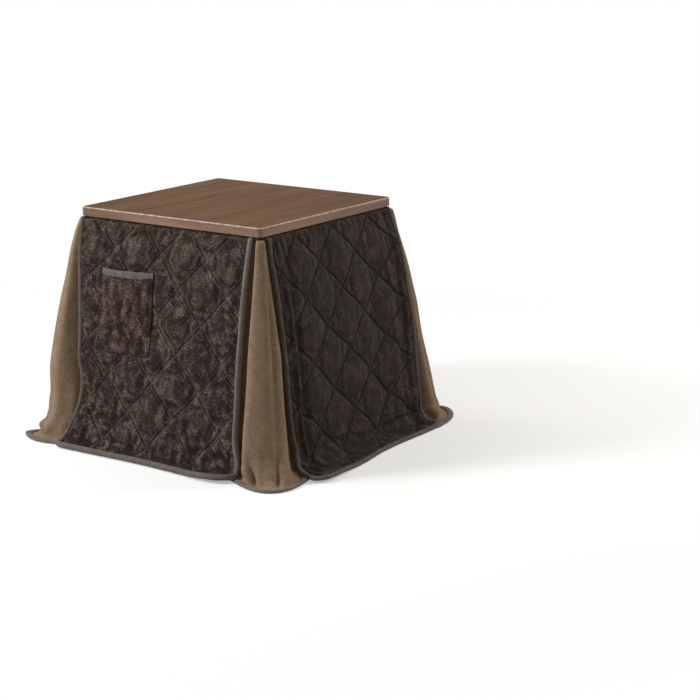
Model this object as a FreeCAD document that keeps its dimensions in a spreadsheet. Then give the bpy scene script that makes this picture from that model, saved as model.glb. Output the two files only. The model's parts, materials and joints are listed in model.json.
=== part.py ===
import FreeCAD, Part
import math
import os
import Sketcher
from FreeCAD import Placement, Rotation, Vector

# High kotatsu table for one sitter: a loose square tabletop, a quilted skirt cover, a wooden
# frame on four legs and an electric heater with a fan. Millimetres, +Z up. The origin is on the
# floor under the middle of the table. The front (-Y) has the pocket, and the sitter's side is +X.

# Driving dimensions: alias, value in millimetres (or a plain count), meaning
SIZES = (
    ("board_width", 600, "tabletop along X"),
    ("board_depth", 600, "tabletop along Y"),
    ("board_thickness", 25, "tabletop with both face sheets"),
    ("overall_height", 635, "floor to the tabletop's upper face"),
    ("face_sheet_thickness", 0.8, "decor sheet on each face of the board"),
    ("edge_band_thickness", 3, "band round the board's rim"),
    ("board_corner_radius", 12, "plan radius of the board's corners"),
    ("board_edge_round", 2.5, "rounding along the board's rim"),
    ("cloth_gap", 0.3, "air between cloth and what it lies on"),
    ("fit_clearance", 0.1, "radial play of a fastener in its hole"),
    ("running_clearance", 0.05, "radial play of the fan's shaft in the motor"),
    ("hole_overrun", 2, "how far a cutting tool runs past the face it cuts"),
    ("frame_setback", 15, "legs' outer faces inside the board's sides"),
    ("leg_size", 45, "side of the square leg"),
    ("leg_edge_round", 4, "rounding of the leg's long edges"),
    ("apron_thickness", 18, "apron board"),
    ("apron_height", 55, "apron board"),
    ("apron_setback", 3, "apron's outer face behind the leg's"),
    ("rail_width", 40, "heater rail along X"),
    ("rail_thickness", 20, "heater rail along Z"),
    ("rail_spacing", 236, "between the middles of the two heater rails"),
    ("rail_drop", 2, "rail's upper face below the frame's top"),
    ("rail_screw_radius", 2.5, "shank of a rail screw"),
    ("rail_screw_length", 50, "shank of a rail screw"),
    ("rail_screw_head_radius", 5, "head of a rail screw"),
    ("rail_screw_head_height", 2, "head of a rail screw"),
    ("glide_radius", 14, "nylon glide under a leg"),
    ("glide_height", 5, "nylon glide under a leg"),
    ("glide_pin_radius", 3, "glide's pin in the leg"),
    ("glide_pin_length", 18, "glide's pin in the leg"),
    ("bracket_thickness", 2, "corner bracket's sheet steel"),
    ("bracket_height", 40, "corner bracket along Z"),
    ("bracket_reach", 58, "web's foot from the aprons' inner corner"),
    ("bracket_flange", 35, "flange on the apron"),
    ("bracket_screw_radius", 2, "shank of a bracket screw"),
    ("bracket_screw_length", 14, "shank of a bracket screw"),
    ("bracket_screw_head_radius", 4, "head of a bracket screw"),
    ("bracket_screw_head_height", 2, "head of a bracket screw"),
    ("bracket_screw_pitch", 20, "between the two screws of a flange"),
    ("hanger_bolt_radius", 4, "hanger bolt M8"),
    ("hanger_bolt_bite", 34, "bolt's length inside the leg, from the bracket"),
    ("hanger_bolt_tail", 18, "bolt's length on the nut's side of the bracket"),
    ("washer_radius", 9, "washer under the nut"),
    ("washer_thickness", 1.6, "washer under the nut"),
    ("nut_across_flats", 13, "hexagon nut"),
    ("nut_height", 6.5, "hexagon nut"),
    ("quilt_thickness", 9, "quilted panel"),
    ("cover_top_thickness", 7, "cover's top sheet under the board's weight"),
    ("fleece_thickness", 3, "plain corner gusset"),
    ("floor_gap", 0.3, "lowest cloth above the floor"),
    ("panel_width_front", 540, "front and back panel with binding"),
    ("panel_width_right", 540, "right and left panel with binding"),
    ("panel_lean", 90, "how far a panel leans out from the board to its knee"),
    ("knee_run", 30, "knee's run along the floor"),
    ("fold_depth", 8, "largest wave of a panel"),
    ("hem_reach_front", 168, "front hem's fullest reach past the board, without its binding"),
    ("hem_reach_right", 202, "right hem's fullest reach past the board, without its binding"),
    ("stitch_step_front", 76, "front panel, half a diamond along it"),
    ("stitch_drop_front", 85, "front panel, half a diamond in height"),
    ("stitch_start_front", 66, "front panel, a stitch crossing from the middle"),
    ("stitch_height_front", 445, "front panel, that crossing above the floor"),
    ("stitch_step_right", 84, "right panel, half a diamond along it"),
    ("stitch_drop_right", 83, "right panel, half a diamond in height"),
    ("stitch_start_right", 93, "right panel, a stitch crossing from the middle"),
    ("stitch_height_right", 512, "right panel, that crossing above the floor"),
    ("stitch_gap", 3, "flat cloth beside a stitch line"),
    ("puff_height", 7, "middle of a padded diamond past the panel's face"),
    ("puff_seat", 1, "padded diamond's edge sunk in the panel's face"),
    ("binding_width", 12, "binding tape round a panel"),
    ("binding_proud", 1, "binding tape past the quilt's outer face"),
    ("gusset_tab", 18, "seam allowance behind the panel's edge"),
    ("gusset_start", 2, "straight seam allowance past the panel's edge"),
    ("ridge_reach", 92, "how far the gusset's fold leans out at the corner"),
    ("fold_half_width", 64, "half the gusset fold's width near the floor"),
    ("gusset_hem_reach", 150, "gusset's hem past the board, without its binding"),
    ("gusset_hem_radius", 62, "hem's plan radius at the corner"),
    ("gusset_lap", 8, "cloth on the floor inside the fold's foot"),
    ("gusset_binding_height", 5, "binding tape on the gusset's hem"),
    ("pocket_left", 212, "pocket's outer side from the middle"),
    ("pocket_width", 175, "pocket"),
    ("pocket_bottom", 268, "pocket's lower edge above the floor"),
    ("pocket_height", 214, "pocket"),
    ("pocket_room", 12, "space inside the pocket, front to back"),
    ("pocket_cloth", 3, "pocket's cloth"),
    ("pocket_binding_height", 20, "tape along the pocket's mouth"),
    ("pocket_binding_thickness", 1.5, "tape along the pocket's mouth"),
    ("casing_length", 290, "heater along X"),
    ("casing_width", 200, "heater along Y"),
    ("casing_height", 58, "heater along Z, without its guard"),
    ("casing_sheet", 1.2, "heater casing's sheet steel"),
    ("casing_corner_radius", 10, "heater casing in plan"),
    ("ear_width", 26, "fixing ear along X"),
    ("ear_length", 18, "fixing ear past the casing"),
    ("louvre_length", 70, "air slot in the casing's top"),
    ("louvre_width", 4, "air slot"),
    ("louvre_pitch", 11, "between air slots"),
    ("heater_screw_radius", 2.2, "shank of a heater screw"),
    ("heater_screw_length", 16, "shank of a heater screw"),
    ("heater_screw_head_radius", 5, "head of a heater screw"),
    ("heater_screw_head_height", 2.4, "head of a heater screw"),
    ("reflector_radius", 180, "curve of the reflector trough"),
    ("reflector_sheet", 0.8, "reflector's aluminium"),
    ("reflector_end_room", 14, "reflector's end to the casing's end"),
    ("reflector_side_room", 8, "reflector's edge to the casing's side"),
    ("reflector_crown", 26, "reflector's crown above the casing's lower edge"),
    ("reflector_vent_radius", 39, "hole under the fan"),
    ("reflector_post_radius", 3, "post from casing to reflector"),
    ("tube_radius", 6, "quartz tube"),
    ("tube_wall", 1, "quartz tube"),
    ("tube_end_room", 23, "quartz tube's end to the reflector's end"),
    ("tube_rise", 9, "tube's middle above the casing's lower edge"),
    ("filament_radius", 1.4, "heating filament"),
    ("cap_length", 16, "ceramic end cap"),
    ("cap_size", 18, "ceramic end cap, square"),
    ("cap_overlap", 9, "tube's length inside its end cap"),
    ("guard_wire", 2, "guard wire"),
    ("guard_drop", 8, "guard below the casing"),
    ("guard_rim", 7, "guard's flat rim"),
    ("guard_cells_x", 14, "openings along X"),
    ("guard_cells_y", 9, "openings along Y"),
    ("motor_radius", 19, "fan motor"),
    ("motor_height", 18, "fan motor"),
    ("motor_plate_length", 64, "fan motor's fixing plate"),
    ("motor_plate_width", 22, "fan motor's fixing plate"),
    ("motor_plate_thickness", 1.5, "fan motor's fixing plate"),
    ("shaft_radius", 1.5, "fan shaft"),
    ("shaft_engagement", 12, "fan shaft inside the motor"),
    ("impeller_radius", 36, "fan wheel"),
    ("impeller_height", 10, "fan wheel"),
    ("impeller_plate", 1.5, "fan wheel's back plate"),
    ("impeller_hub_radius", 8, "fan wheel's hub"),
    ("impeller_gap", 1.5, "between motor and fan wheel"),
    ("blade_thickness", 1.4, "fan blade"),
    ("blade_count", 9, "fan blades"),
    ("inlet_width", 38, "plug inlet along Y"),
    ("inlet_height", 24, "plug inlet along Z"),
    ("inlet_proud", 15, "plug inlet outside the casing"),
    ("inlet_behind", 11, "plug inlet inside the casing"),
    ("inlet_wall", 2.5, "plug inlet's wall"),
    ("inlet_offset", 42, "inlet's middle from the heater's middle, along Y"),
    ("pin_length", 14, "inlet pin's free length"),
    ("pin_radius", 2, "inlet pin"),
    ("pin_pitch", 10, "between inlet pins"),
    ("thermostat_radius", 9, "thermostat disc"),
    ("thermostat_height", 7, "thermostat disc"),
    ("fuse_radius", 3, "thermal fuse"),
    ("fuse_length", 16, "thermal fuse"),
    ("fuse_clip_thickness", 1, "clip under the casing's top that holds the fuse"),
    ("lead_radius", 1.4, "heater's inner lead"),
    ("lead_bend", 9, "bend radius of a lead"),
)

# Height and reach of a panel, as shares of the skirt's height and of panel_lean, top first
FALL_shares = (
    (1.00, 0.06), (0.88, 0.24), (0.76, 0.42), (0.58, 0.60),
    (0.45, 0.72), (0.32, 0.80), (0.20, 0.89), (0.11, 1.00),
)
# The gusset's ridge as shares of ridge_reach, and the fold's half width as shares of
# fold_half_width, at the same heights and then at the floor
RIDGE_shares = (0.02, 0.13, 0.24, 0.43, 0.57, 0.70, 0.82, 0.93, 1.03)
FOLD_shares = (0.20, 0.31, 0.44, 0.62, 0.72, 0.81, 0.90, 0.97, 1.03)
# Waves of a panel: place along its half width, and depth as a share of fold_depth
WAVE_FRONT_shares = (
    (-1.0, 0.0), (-0.93, 0.0), (-0.86, 0.5), (-0.80, 0.0), (-0.1, 0.0),
    (0.25, 0.5), (0.6, -0.3), (0.85, 0.4), (0.93, 0.0), (1.0, 0.0),
)
WAVE_RIGHT_shares = (
    (-1.0, 0.0), (-0.93, 0.0), (-0.87, 0.9), (-0.80, -0.6), (-0.70, 0.6), (-0.3, 0.0),
    (0.2, 0.4), (0.6, 0.0), (0.80, 0.7), (0.87, -0.5), (0.93, 0.0), (1.0, 0.0),
)
# The hem's reach along a panel, as shares of its fullest reach
HEM_FRONT_shares = ((-1.0, 0.77), (-0.5, 0.75), (0.0, 0.72), (0.5, 0.80), (0.85, 1.0), (1.0, 0.92))
HEM_RIGHT_shares = ((-1.0, 0.94), (-0.6, 1.0), (0.0, 0.92), (0.4, 0.84), (1.0, 0.79))
# Where the knee's arc passes, as shares of its run and of its drop
KNEE_OUT_share = 0.30
KNEE_DOWN_share = 0.60
# How far the gusset fold's front is rounded, as a share of its half width
FOLD_ROUND_share = 0.80
# Places in the heater, as shares of the reflector and of the fan wheel
POST_ALONG_share = 0.30
POST_ACROSS_share = 0.42
CONTROL_ALONG_share = 0.23
CONTROL_ACROSS_share = 0.33
BLADE_share = 0.96
HALF = 0.5

doc = FreeCAD.newDocument("KotatsuTable")
sheet = doc.addObject("Spreadsheet::Sheet", "Sizes")
for row, (alias, value, meaning) in enumerate(SIZES, 1):
    sheet.set(f"A{row}", alias)
    sheet.set(f"B{row}", str(value))
    sheet.set(f"C{row}", meaning)
    sheet.setAlias(f"B{row}", alias)
doc.recompute()
SIZE = {alias: float(sheet.get(alias)) for alias, value, meaning in SIZES}

# Every finished sub-part, in the order it is written
subparts = []
ACROSS_X = (1, 0, 0)
ACROSS_Y = (0, 1, 0)


def sizes_in(expression):
    """Writes size names as cells of the sheet."""
    words = []
    word = ""
    for letter in str(expression) + " ":
        if letter.isalnum() or letter in "_.":
            word += letter
            continue
        words.append("Sizes." + word if word in SIZE else word)
        words.append(letter)
        word = ""
    return "".join(words).strip()


def bind(piece, expressions):
    """Ties properties of a piece to expressions of the sizes."""
    for name, expression in expressions.items():
        piece.setExpression(name, sizes_in(expression))


def placed(piece, corner):
    """Puts a piece at a place given by three expressions."""
    bind(piece, {"Placement.Base." + axis: place for axis, place in zip("xyz", corner)})
    return piece


def keep(piece, node):
    """Names a finished sub-part, which its file is then called."""
    piece.Label = node
    subparts.append(piece)
    return piece


def box(name, lengths, corner):
    """A block from its three lengths and its lowest corner."""
    piece = doc.addObject("Part::Box", name)
    bind(piece, dict(zip(("Length", "Width", "Height"), lengths)))
    return placed(piece, corner)


def rod(name, radius, height, start, direction=(0, 0, 1)):
    """A cylinder from the middle of one end, along a direction."""
    piece = doc.addObject("Part::Cylinder", name)
    bind(piece, {"Radius": radius, "Height": height})
    piece.Placement = Placement(Vector(), Rotation(Vector(0, 0, 1), Vector(*direction)))
    return placed(piece, start)


def fuse(name, *parts):
    """Several overlapping shapes made one."""
    piece = doc.addObject("Part::MultiFuse", name)
    piece.Shapes = list(parts)
    return piece


def cut(name, base, *tools):
    """The base with one or more tools taken from it."""
    piece = doc.addObject("Part::Cut", name)
    piece.Base = base
    piece.Tool = tools[0] if len(tools) == 1 else fuse(name + "_tools", *tools)
    return piece


def common(name, *parts):
    """What several shapes share."""
    piece = doc.addObject("Part::MultiCommon", name)
    piece.Shapes = list(parts)
    return piece


def group(name, *parts):
    """Separate solids that share one node."""
    piece = doc.addObject("Part::Compound", name)
    piece.Links = list(parts)
    return piece


def mirrored(name, source, normal):
    """The source's mirror image across a plane through the origin."""
    piece = doc.addObject("Part::Mirroring", name)
    piece.Source = source
    piece.Base = Vector(0, 0, 0)
    piece.Normal = Vector(*normal)
    return piece


def both_sides(name, source, normal):
    """The source and its mirror image, as one group."""
    return group(name, source, mirrored(name + "_mirror", source, normal))


def four_corners(name, source):
    """The source at all four corners of the table, as one group."""
    return both_sides(name, both_sides(name + "_pair", source, ACROSS_X), ACROSS_Y)


def is_upright(edge):
    """True for an edge that stands along Z."""
    ends = [vertex.Point for vertex in edge.Vertexes]
    run = ends[-1] - ends[0]
    return run.Length > 0 and abs(run.z) > HALF * run.Length


def edge_names(shape, upright):
    """Names of a shape's upright edges, or of all its others."""
    numbered = enumerate(shape.Edges, 1)
    return [f"Edge{number}" for number, edge in numbered if is_upright(edge) == upright]


def block_body(name, lengths, corner, radius, rim=None):
    """A block as a solid body with rounded upright edges, and a rounded rim above and below."""
    body = doc.addObject("PartDesign::Body", name)
    block = body.newObject("PartDesign::AdditiveBox", name + "_block")
    bind(block, dict(zip(("Length", "Width", "Height"), lengths)))
    doc.recompute()
    rounding = body.newObject("PartDesign::Fillet", name + "_corners")
    rounding.Base = (block, edge_names(block.Shape, True))
    bind(rounding, {"Radius": radius})
    body.Tip = rounding
    doc.recompute()
    if rim:
        softened = body.newObject("PartDesign::Fillet", name + "_rim")
        softened.Base = (rounding, edge_names(rounding.Shape, False))
        bind(softened, {"Radius": rim})
        body.Tip = softened
        doc.recompute()
    return placed(body, corner)


def outline_body(name, points, height, corner):
    """A body padded up from a closed outline, whose corners are pairs of expressions in X and Y."""
    body = doc.addObject("PartDesign::Body", name)
    plane = next(item for item in body.Origin.OriginFeatures if item.Role == "XY_Plane")
    sketch = body.newObject("Sketcher::SketchObject", name + "_outline")
    sketch.AttachmentSupport = (plane, [""])
    sketch.MapMode = "FlatFace"
    count = len(points)
    turns = [math.tau * index / count for index in range(count)]
    round_start = SIZE["board_width"]
    starts = [Vector(round_start * math.cos(turn), round_start * math.sin(turn), 0) for turn in turns]
    for index in range(count):
        sketch.addGeometry(Part.LineSegment(starts[index], starts[(index + 1) % count]))
    for index in range(count):
        sketch.addConstraint(Sketcher.Constraint("Coincident", index, 2, (index + 1) % count, 1))
    for index, (x, y) in enumerate(points):
        for kind, expression, now in (("DistanceX", x, starts[index].x), ("DistanceY", y, starts[index].y)):
            number = sketch.addConstraint(Sketcher.Constraint(kind, -1, 1, index, 1, now))
            sketch.setExpression(f"Constraints[{number}]", sizes_in(expression))
    pad = body.newObject("PartDesign::Pad", name + "_pad")
    pad.Profile = sketch
    bind(pad, {"Length": height})
    body.Tip = pad
    doc.recompute()
    return placed(body, corner)


# Lengths, heights and places that several pieces share, as expressions of the sizes
FRAME_WIDTH = "(board_width - 2 * frame_setback)"
FRAME_DEPTH = "(board_depth - 2 * frame_setback)"
REFLECTOR_LENGTH = "(casing_length - 2 * reflector_end_room)"
REFLECTOR_WIDTH = "(casing_width - 2 * reflector_side_room)"
TUBE_LENGTH = f"({REFLECTOR_LENGTH} - 2 * tube_end_room)"
BOARD_BOTTOM = "(overall_height - board_thickness)"
FRAME_TOP = "(overall_height - board_thickness - cover_top_thickness - 2 * cloth_gap)"
APRON_FACE_X = f"({FRAME_WIDTH} / 2 - apron_setback - apron_thickness)"
APRON_FACE_Y = f"({FRAME_DEPTH} / 2 - apron_setback - apron_thickness)"
APRON_BOTTOM = f"({FRAME_TOP} - apron_height)"
BRACKET_MIDDLE = f"({FRAME_TOP} - apron_height / 2)"
RAIL_BOTTOM = f"({FRAME_TOP} - rail_drop - rail_thickness)"
CASING_TOP = RAIL_BOTTOM
CASING_BOTTOM = f"({CASING_TOP} - casing_height)"
CASING_CEILING = f"({CASING_TOP} - casing_sheet)"
TUBE_MIDDLE = f"({CASING_BOTTOM} + tube_rise)"


# Cloth: the height of the skirt, and each row's height and reach past the board's side
SKIRT_TOP = SIZE["overall_height"] - SIZE["board_thickness"] - SIZE["cloth_gap"]
QUILT = SIZE["quilt_thickness"]
ROWS = [(height * SKIRT_TOP, reach * SIZE["panel_lean"]) for height, reach in FALL_shares]
ROWS[0] = (SKIRT_TOP - QUILT * HALF, ROWS[0][1])
FULL_WAVE_ROW = 3


def build_tabletop():
    """Core, rim band and two decor sheets, which lift off the cover as one board."""
    core_width = "board_width - 2 * edge_band_thickness"
    core_depth = "board_depth - 2 * edge_band_thickness"
    core_radius = "board_corner_radius - edge_band_thickness"
    left = "-board_width / 2"
    front = "-board_depth / 2"
    inner_left = left + " + edge_band_thickness"
    inner_front = front + " + edge_band_thickness"
    core_height = "board_thickness - 2 * face_sheet_thickness"
    core_corner = (inner_left, inner_front, BOARD_BOTTOM + " + face_sheet_thickness")
    keep(block_body("core", (core_width, core_depth, core_height), core_corner, core_radius), "board_core")
    rim = ("board_width", "board_depth", "board_thickness")
    outer = block_body("rim", rim, (left, front, BOARD_BOTTOM), "board_corner_radius", "board_edge_round")
    hole_height = "board_thickness + 2 * hole_overrun"
    hole_corner = (inner_left, inner_front, BOARD_BOTTOM + " - hole_overrun")
    hole = block_body("rim_hole", (core_width, core_depth, hole_height), hole_corner, core_radius)
    keep(cut("band", outer, hole), "board_edge_band")
    for node, height in (
        ("board_face_sheet", "overall_height - face_sheet_thickness"),
        ("board_backing_sheet", BOARD_BOTTOM),
    ):
        lengths = (core_width, core_depth, "face_sheet_thickness")
        keep(block_body(node + "_body", lengths, (inner_left, inner_front, height), core_radius), node)


# The hanger bolt runs level, at 45 degrees through the middle of the bracket's web
BOLT_STEP = "/ sqrt(2)"
BOLT_WAY = (1, -1, 0)
WEB_X = f"{APRON_FACE_X} - bracket_reach / 2"
WEB_Y = f"-{APRON_FACE_Y} + bracket_reach / 2"


def along_bolt(distance):
    """A point on the front right hanger bolt's axis, from the bracket's web towards the leg."""
    return (f"{WEB_X} + ({distance}) {BOLT_STEP}", f"{WEB_Y} - ({distance}) {BOLT_STEP}", BRACKET_MIDDLE)


def build_legs():
    """Four legs with nylon glides, each bored for its glide's pin and its hanger bolt."""
    height = FRAME_TOP + " - glide_height"
    corner = (f"{FRAME_WIDTH} / 2 - leg_size", f"-{FRAME_DEPTH} / 2", "glide_height")
    post = block_body("leg_post", ("leg_size", "leg_size", height), corner, "leg_edge_round")
    middle_x = f"{FRAME_WIDTH} / 2 - leg_size / 2"
    middle_y = f"-{FRAME_DEPTH} / 2 + leg_size / 2"
    pin_hole = rod(
        "glide_hole", "glide_pin_radius + fit_clearance", "glide_pin_length + fit_clearance + hole_overrun",
        (middle_x, middle_y, "glide_height - hole_overrun"),
    )
    bolt_hole = rod(
        "bolt_hole", "hanger_bolt_radius + fit_clearance", "hanger_bolt_bite + fit_clearance",
        along_bolt("0"), BOLT_WAY,
    )
    leg = keep(cut("leg", post, pin_hole, bolt_hole), "leg_front_right")
    left = keep(mirrored("leg_left", leg, ACROSS_X), "leg_front_left")
    keep(mirrored("leg_back_r", leg, ACROSS_Y), "leg_back_right")
    keep(mirrored("leg_back_l", left, ACROSS_Y), "leg_back_left")
    foot = rod("glide_foot", "glide_radius", "glide_height", (middle_x, middle_y, "0"))
    pin = rod("glide_pin", "glide_pin_radius", "glide_height + glide_pin_length", (middle_x, middle_y, "0"))
    keep(four_corners("glides", fuse("glide", foot, pin)), "foot_glides")


# Middle of the bracket's flanges, as expressions of the sizes
FLANGE_X = f"{APRON_FACE_X} - bracket_reach - bracket_flange / 2"
FLANGE_Y = f"-{APRON_FACE_Y} + bracket_reach + bracket_flange / 2"


def flange_screws(name, radius, length, lift):
    """Two rods through the bracket's flange on the front apron and two through that on the right one."""
    rods = []
    for side, step in (("low", "- bracket_screw_pitch / 2"), ("high", "+ bracket_screw_pitch / 2")):
        height = f"{BRACKET_MIDDLE} {step}"
        front = (FLANGE_X, f"-{APRON_FACE_Y} + bracket_thickness + {lift}", height)
        rods.append(rod(f"{name}_front_{side}", radius, length, front, (0, -1, 0)))
        right = (f"{APRON_FACE_X} - bracket_thickness - ({lift})", FLANGE_Y, height)
        rods.append(rod(f"{name}_right_{side}", radius, length, right, (1, 0, 0)))
    return rods


def build_corner_joints():
    """Sheet steel brackets in the frame's corners, with their screws, hanger bolts, washers and nuts."""
    x, y = APRON_FACE_X, APRON_FACE_Y
    fold = "(sqrt(2) - 1) * bracket_thickness"
    outline = (
        (f"{x} - bracket_reach - bracket_flange", f"-{y}"),
        (f"{x} - bracket_reach", f"-{y}"),
        (x, f"-{y} + bracket_reach"),
        (x, f"-{y} + bracket_reach + bracket_flange"),
        (f"{x} - bracket_thickness", f"-{y} + bracket_reach + bracket_flange"),
        (f"{x} - bracket_thickness", f"-{y} + bracket_reach + {fold}"),
        (f"{x} - bracket_reach - {fold}", f"-{y} + bracket_thickness"),
        (f"{x} - bracket_reach - bracket_flange", f"-{y} + bracket_thickness"),
    )
    strip = outline_body(
        "bracket_strip", outline, "bracket_height", ("0", "0", BRACKET_MIDDLE + " - bracket_height / 2")
    )
    bolt_hole = rod(
        "web_hole", "hanger_bolt_radius + fit_clearance", "bracket_thickness + 2 * hole_overrun",
        along_bolt("-bracket_thickness - hole_overrun"), BOLT_WAY,
    )
    hole_length = "bracket_thickness + 2 * hole_overrun"
    holes = flange_screws(
        "flange_hole", "bracket_screw_radius + fit_clearance", hole_length, "hole_overrun"
    )
    keep(four_corners("brackets", cut("bracket", strip, bolt_hole, *holes)), "corner_brackets")
    shanks = flange_screws("bracket_shank", "bracket_screw_radius", "bracket_screw_length", "0")
    head_length = "bracket_screw_head_height"
    heads = flange_screws(
        "bracket_head", "bracket_screw_head_radius", head_length, "bracket_screw_head_height"
    )
    screws = [fuse(f"bracket_screw_{number}", *pair) for number, pair in enumerate(zip(shanks, heads))]
    keep(four_corners("bracket_screw_sets", group("bracket_screw_set", *screws)), "bracket_screws")
    bolt_start = along_bolt("-bracket_thickness - hanger_bolt_tail")
    bolt_length = "hanger_bolt_bite + bracket_thickness + hanger_bolt_tail"
    keep(
        four_corners("bolts", rod("bolt", "hanger_bolt_radius", bolt_length, bolt_start, BOLT_WAY)),
        "hanger_bolts",
    )
    washer_start = along_bolt("-bracket_thickness - washer_thickness")
    disc = rod("washer_disc", "washer_radius", "washer_thickness", washer_start, BOLT_WAY)
    nut_start = "-bracket_thickness - washer_thickness - nut_height"
    bore = rod(
        "bolt_bore", "hanger_bolt_radius + fit_clearance", "nut_height + washer_thickness + 2 * hole_overrun",
        along_bolt(nut_start + " - hole_overrun"), BOLT_WAY,
    )
    keep(four_corners("washer_set", cut("washer", disc, bore)), "washers")
    prism = doc.addObject("Part::Prism", "nut_prism")
    prism.Polygon = 6
    bind(prism, {"Circumradius": "nut_across_flats / sqrt(3)", "Height": "nut_height"})
    prism.Placement = Placement(Vector(), Rotation(Vector(0, 0, 1), Vector(*BOLT_WAY)))
    placed(prism, along_bolt(nut_start))
    keep(four_corners("nut_set", cut("nut", prism, bore)), "hexagon_nuts")


def rail_screw_rods(name, radius, length, start_y, direction):
    """Two rods side by side into the front end of the right rail."""
    rods = []
    for side, step in (("in", "- rail_width / 4"), ("out", "+ rail_width / 4")):
        start = (f"rail_spacing / 2 {step}", start_y, f"{RAIL_BOTTOM} + rail_thickness / 2")
        rods.append(rod(f"{name}_{side}", radius, length, start, direction))
    return rods


def heater_screw_rod(name, radius, length, start_z):
    """A rod up through the heater's front right ear into the rail."""
    return rod(name, radius, length, ("rail_spacing / 2", "-casing_width / 2 - ear_length / 2", start_z))


def build_aprons_and_rails():
    """Four aprons between the legs, and two rails across them that carry the heater."""
    apron_length = f"{FRAME_WIDTH} - 2 * leg_size"
    front_corner = (f"-{FRAME_WIDTH} / 2 + leg_size", f"-{FRAME_DEPTH} / 2 + apron_setback", APRON_BOTTOM)
    front_board = box("apron_x", (apron_length, "apron_thickness", "apron_height"), front_corner)
    side_length = f"{FRAME_DEPTH} - 2 * leg_size"
    side_corner = (APRON_FACE_X, f"-{FRAME_DEPTH} / 2 + leg_size", APRON_BOTTOM)
    side_board = box("apron_y", ("apron_thickness", side_length, "apron_height"), side_corner)
    pilot = flange_screws(
        "pilot", "bracket_screw_radius + fit_clearance", "bracket_screw_length + fit_clearance", "0"
    )
    pilots = four_corners("pilot_holes", group("pilot_set", *pilot))
    apron_outside = f"-{FRAME_DEPTH} / 2 + apron_setback"
    hole_length = "rail_screw_length + hole_overrun + fit_clearance"
    rail_holes = rail_screw_rods(
        "rail_hole", "rail_screw_radius + fit_clearance", hole_length,
        apron_outside + " - hole_overrun", ACROSS_Y,
    )
    rail_drills = four_corners("rail_drills", group("rail_drill", *rail_holes))
    front = keep(cut("apron_f", front_board, pilots, rail_drills), "apron_front")
    keep(mirrored("apron_b", front, ACROSS_Y), "apron_back")
    right = keep(cut("apron_r", side_board, pilots), "apron_right")
    keep(mirrored("apron_l", right, ACROSS_X), "apron_left")
    shanks = rail_screw_rods(
        "rail_shank", "rail_screw_radius", "rail_screw_length", apron_outside, ACROSS_Y
    )
    head_start = apron_outside + " - rail_screw_head_height"
    heads = rail_screw_rods(
        "rail_head", "rail_screw_head_radius", "rail_screw_head_height", head_start, ACROSS_Y
    )
    screws = [fuse(f"rail_screw_{number}", *pair) for number, pair in enumerate(zip(shanks, heads))]
    keep(four_corners("rail_screw_sets", group("rail_screw_set", *screws)), "rail_screws")
    rail_corner = ("rail_spacing / 2 - rail_width / 2", f"-{APRON_FACE_Y}", RAIL_BOTTOM)
    rail_board = box("rail_board", ("rail_width", f"2 * {APRON_FACE_Y}", "rail_thickness"), rail_corner)
    heater_hole = heater_screw_rod(
        "heater_hole", "heater_screw_radius + fit_clearance", "heater_screw_length + hole_overrun",
        RAIL_BOTTOM + " - hole_overrun",
    )
    heater_drills = both_sides("heater_drills", heater_hole, ACROSS_Y)
    rail = keep(cut("rail", rail_board, rail_drills, heater_drills), "heater_rail_right")
    keep(mirrored("rail_l", rail, ACROSS_X), "heater_rail_left")


INLET_FACE = "-casing_length / 2"
INLET_MIDDLE = f"({CASING_BOTTOM} + casing_height / 2)"


def inlet_block(name, grow, start, length):
    """A block round the inlet's middle, grown past its size, from a place along X."""
    width = f"inlet_width + 2 * ({grow})"
    height = f"inlet_height + 2 * ({grow})"
    corner = (
        start, f"inlet_offset - inlet_width / 2 - ({grow})",
        f"{INLET_MIDDLE} - inlet_height / 2 - ({grow})",
    )
    return box(name, (length, width, height), corner)


def build_casing():
    """Steel heater casing, open below, with fixing ears and air slots, and its four screws."""
    corner = ("-casing_length / 2", "-casing_width / 2", CASING_BOTTOM)
    lengths = ("casing_length", "casing_width", "casing_height")
    outside = block_body("casing_block", lengths, corner, "casing_corner_radius")
    room = (
        "casing_length - 2 * casing_sheet", "casing_width - 2 * casing_sheet",
        "casing_height + hole_overrun - casing_sheet",
    )
    room_corner = (
        "-casing_length / 2 + casing_sheet", "-casing_width / 2 + casing_sheet",
        CASING_BOTTOM + " - hole_overrun",
    )
    inside = block_body("casing_room", room, room_corner, "casing_corner_radius - casing_sheet")
    ear_corner = ("rail_spacing / 2 - ear_width / 2", "-casing_width / 2 - ear_length", CASING_CEILING)
    ear = box("ear", ("ear_width", "ear_length + casing_sheet", "casing_sheet"), ear_corner)
    ears = four_corners("ears", ear)
    slots = []
    for number, place in enumerate(range(-3, 4)):
        middle = f"{place} * louvre_pitch - louvre_width / 2"
        start = ("-louvre_length / 2", middle, CASING_CEILING + " - hole_overrun")
        slots.append(box(
            f"slot_{number}", ("louvre_length", "louvre_width", "casing_sheet + 2 * hole_overrun"), start
        ))
    drill = heater_screw_rod(
        "ear_hole", "heater_screw_radius + fit_clearance", "casing_sheet + 2 * hole_overrun",
        CASING_CEILING + " - hole_overrun",
    )
    opening = inlet_block(
        "inlet_opening", "fit_clearance", INLET_FACE + " - hole_overrun", "casing_sheet + 2 * hole_overrun"
    )
    body = fuse("casing_and_ears", outside, ears)
    keep(cut("casing", body, inside, four_corners("ear_holes", drill), opening, *slots), "heater_casing")
    head = heater_screw_rod(
        "heater_screw_head", "heater_screw_head_radius", "heater_screw_head_height",
        CASING_CEILING + " - heater_screw_head_height",
    )
    shank = heater_screw_rod(
        "heater_screw_shank", "heater_screw_radius", "heater_screw_length", CASING_CEILING
    )
    keep(four_corners("heater_screw_set", fuse("heater_screw", head, shank)), "heater_screws")


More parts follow.
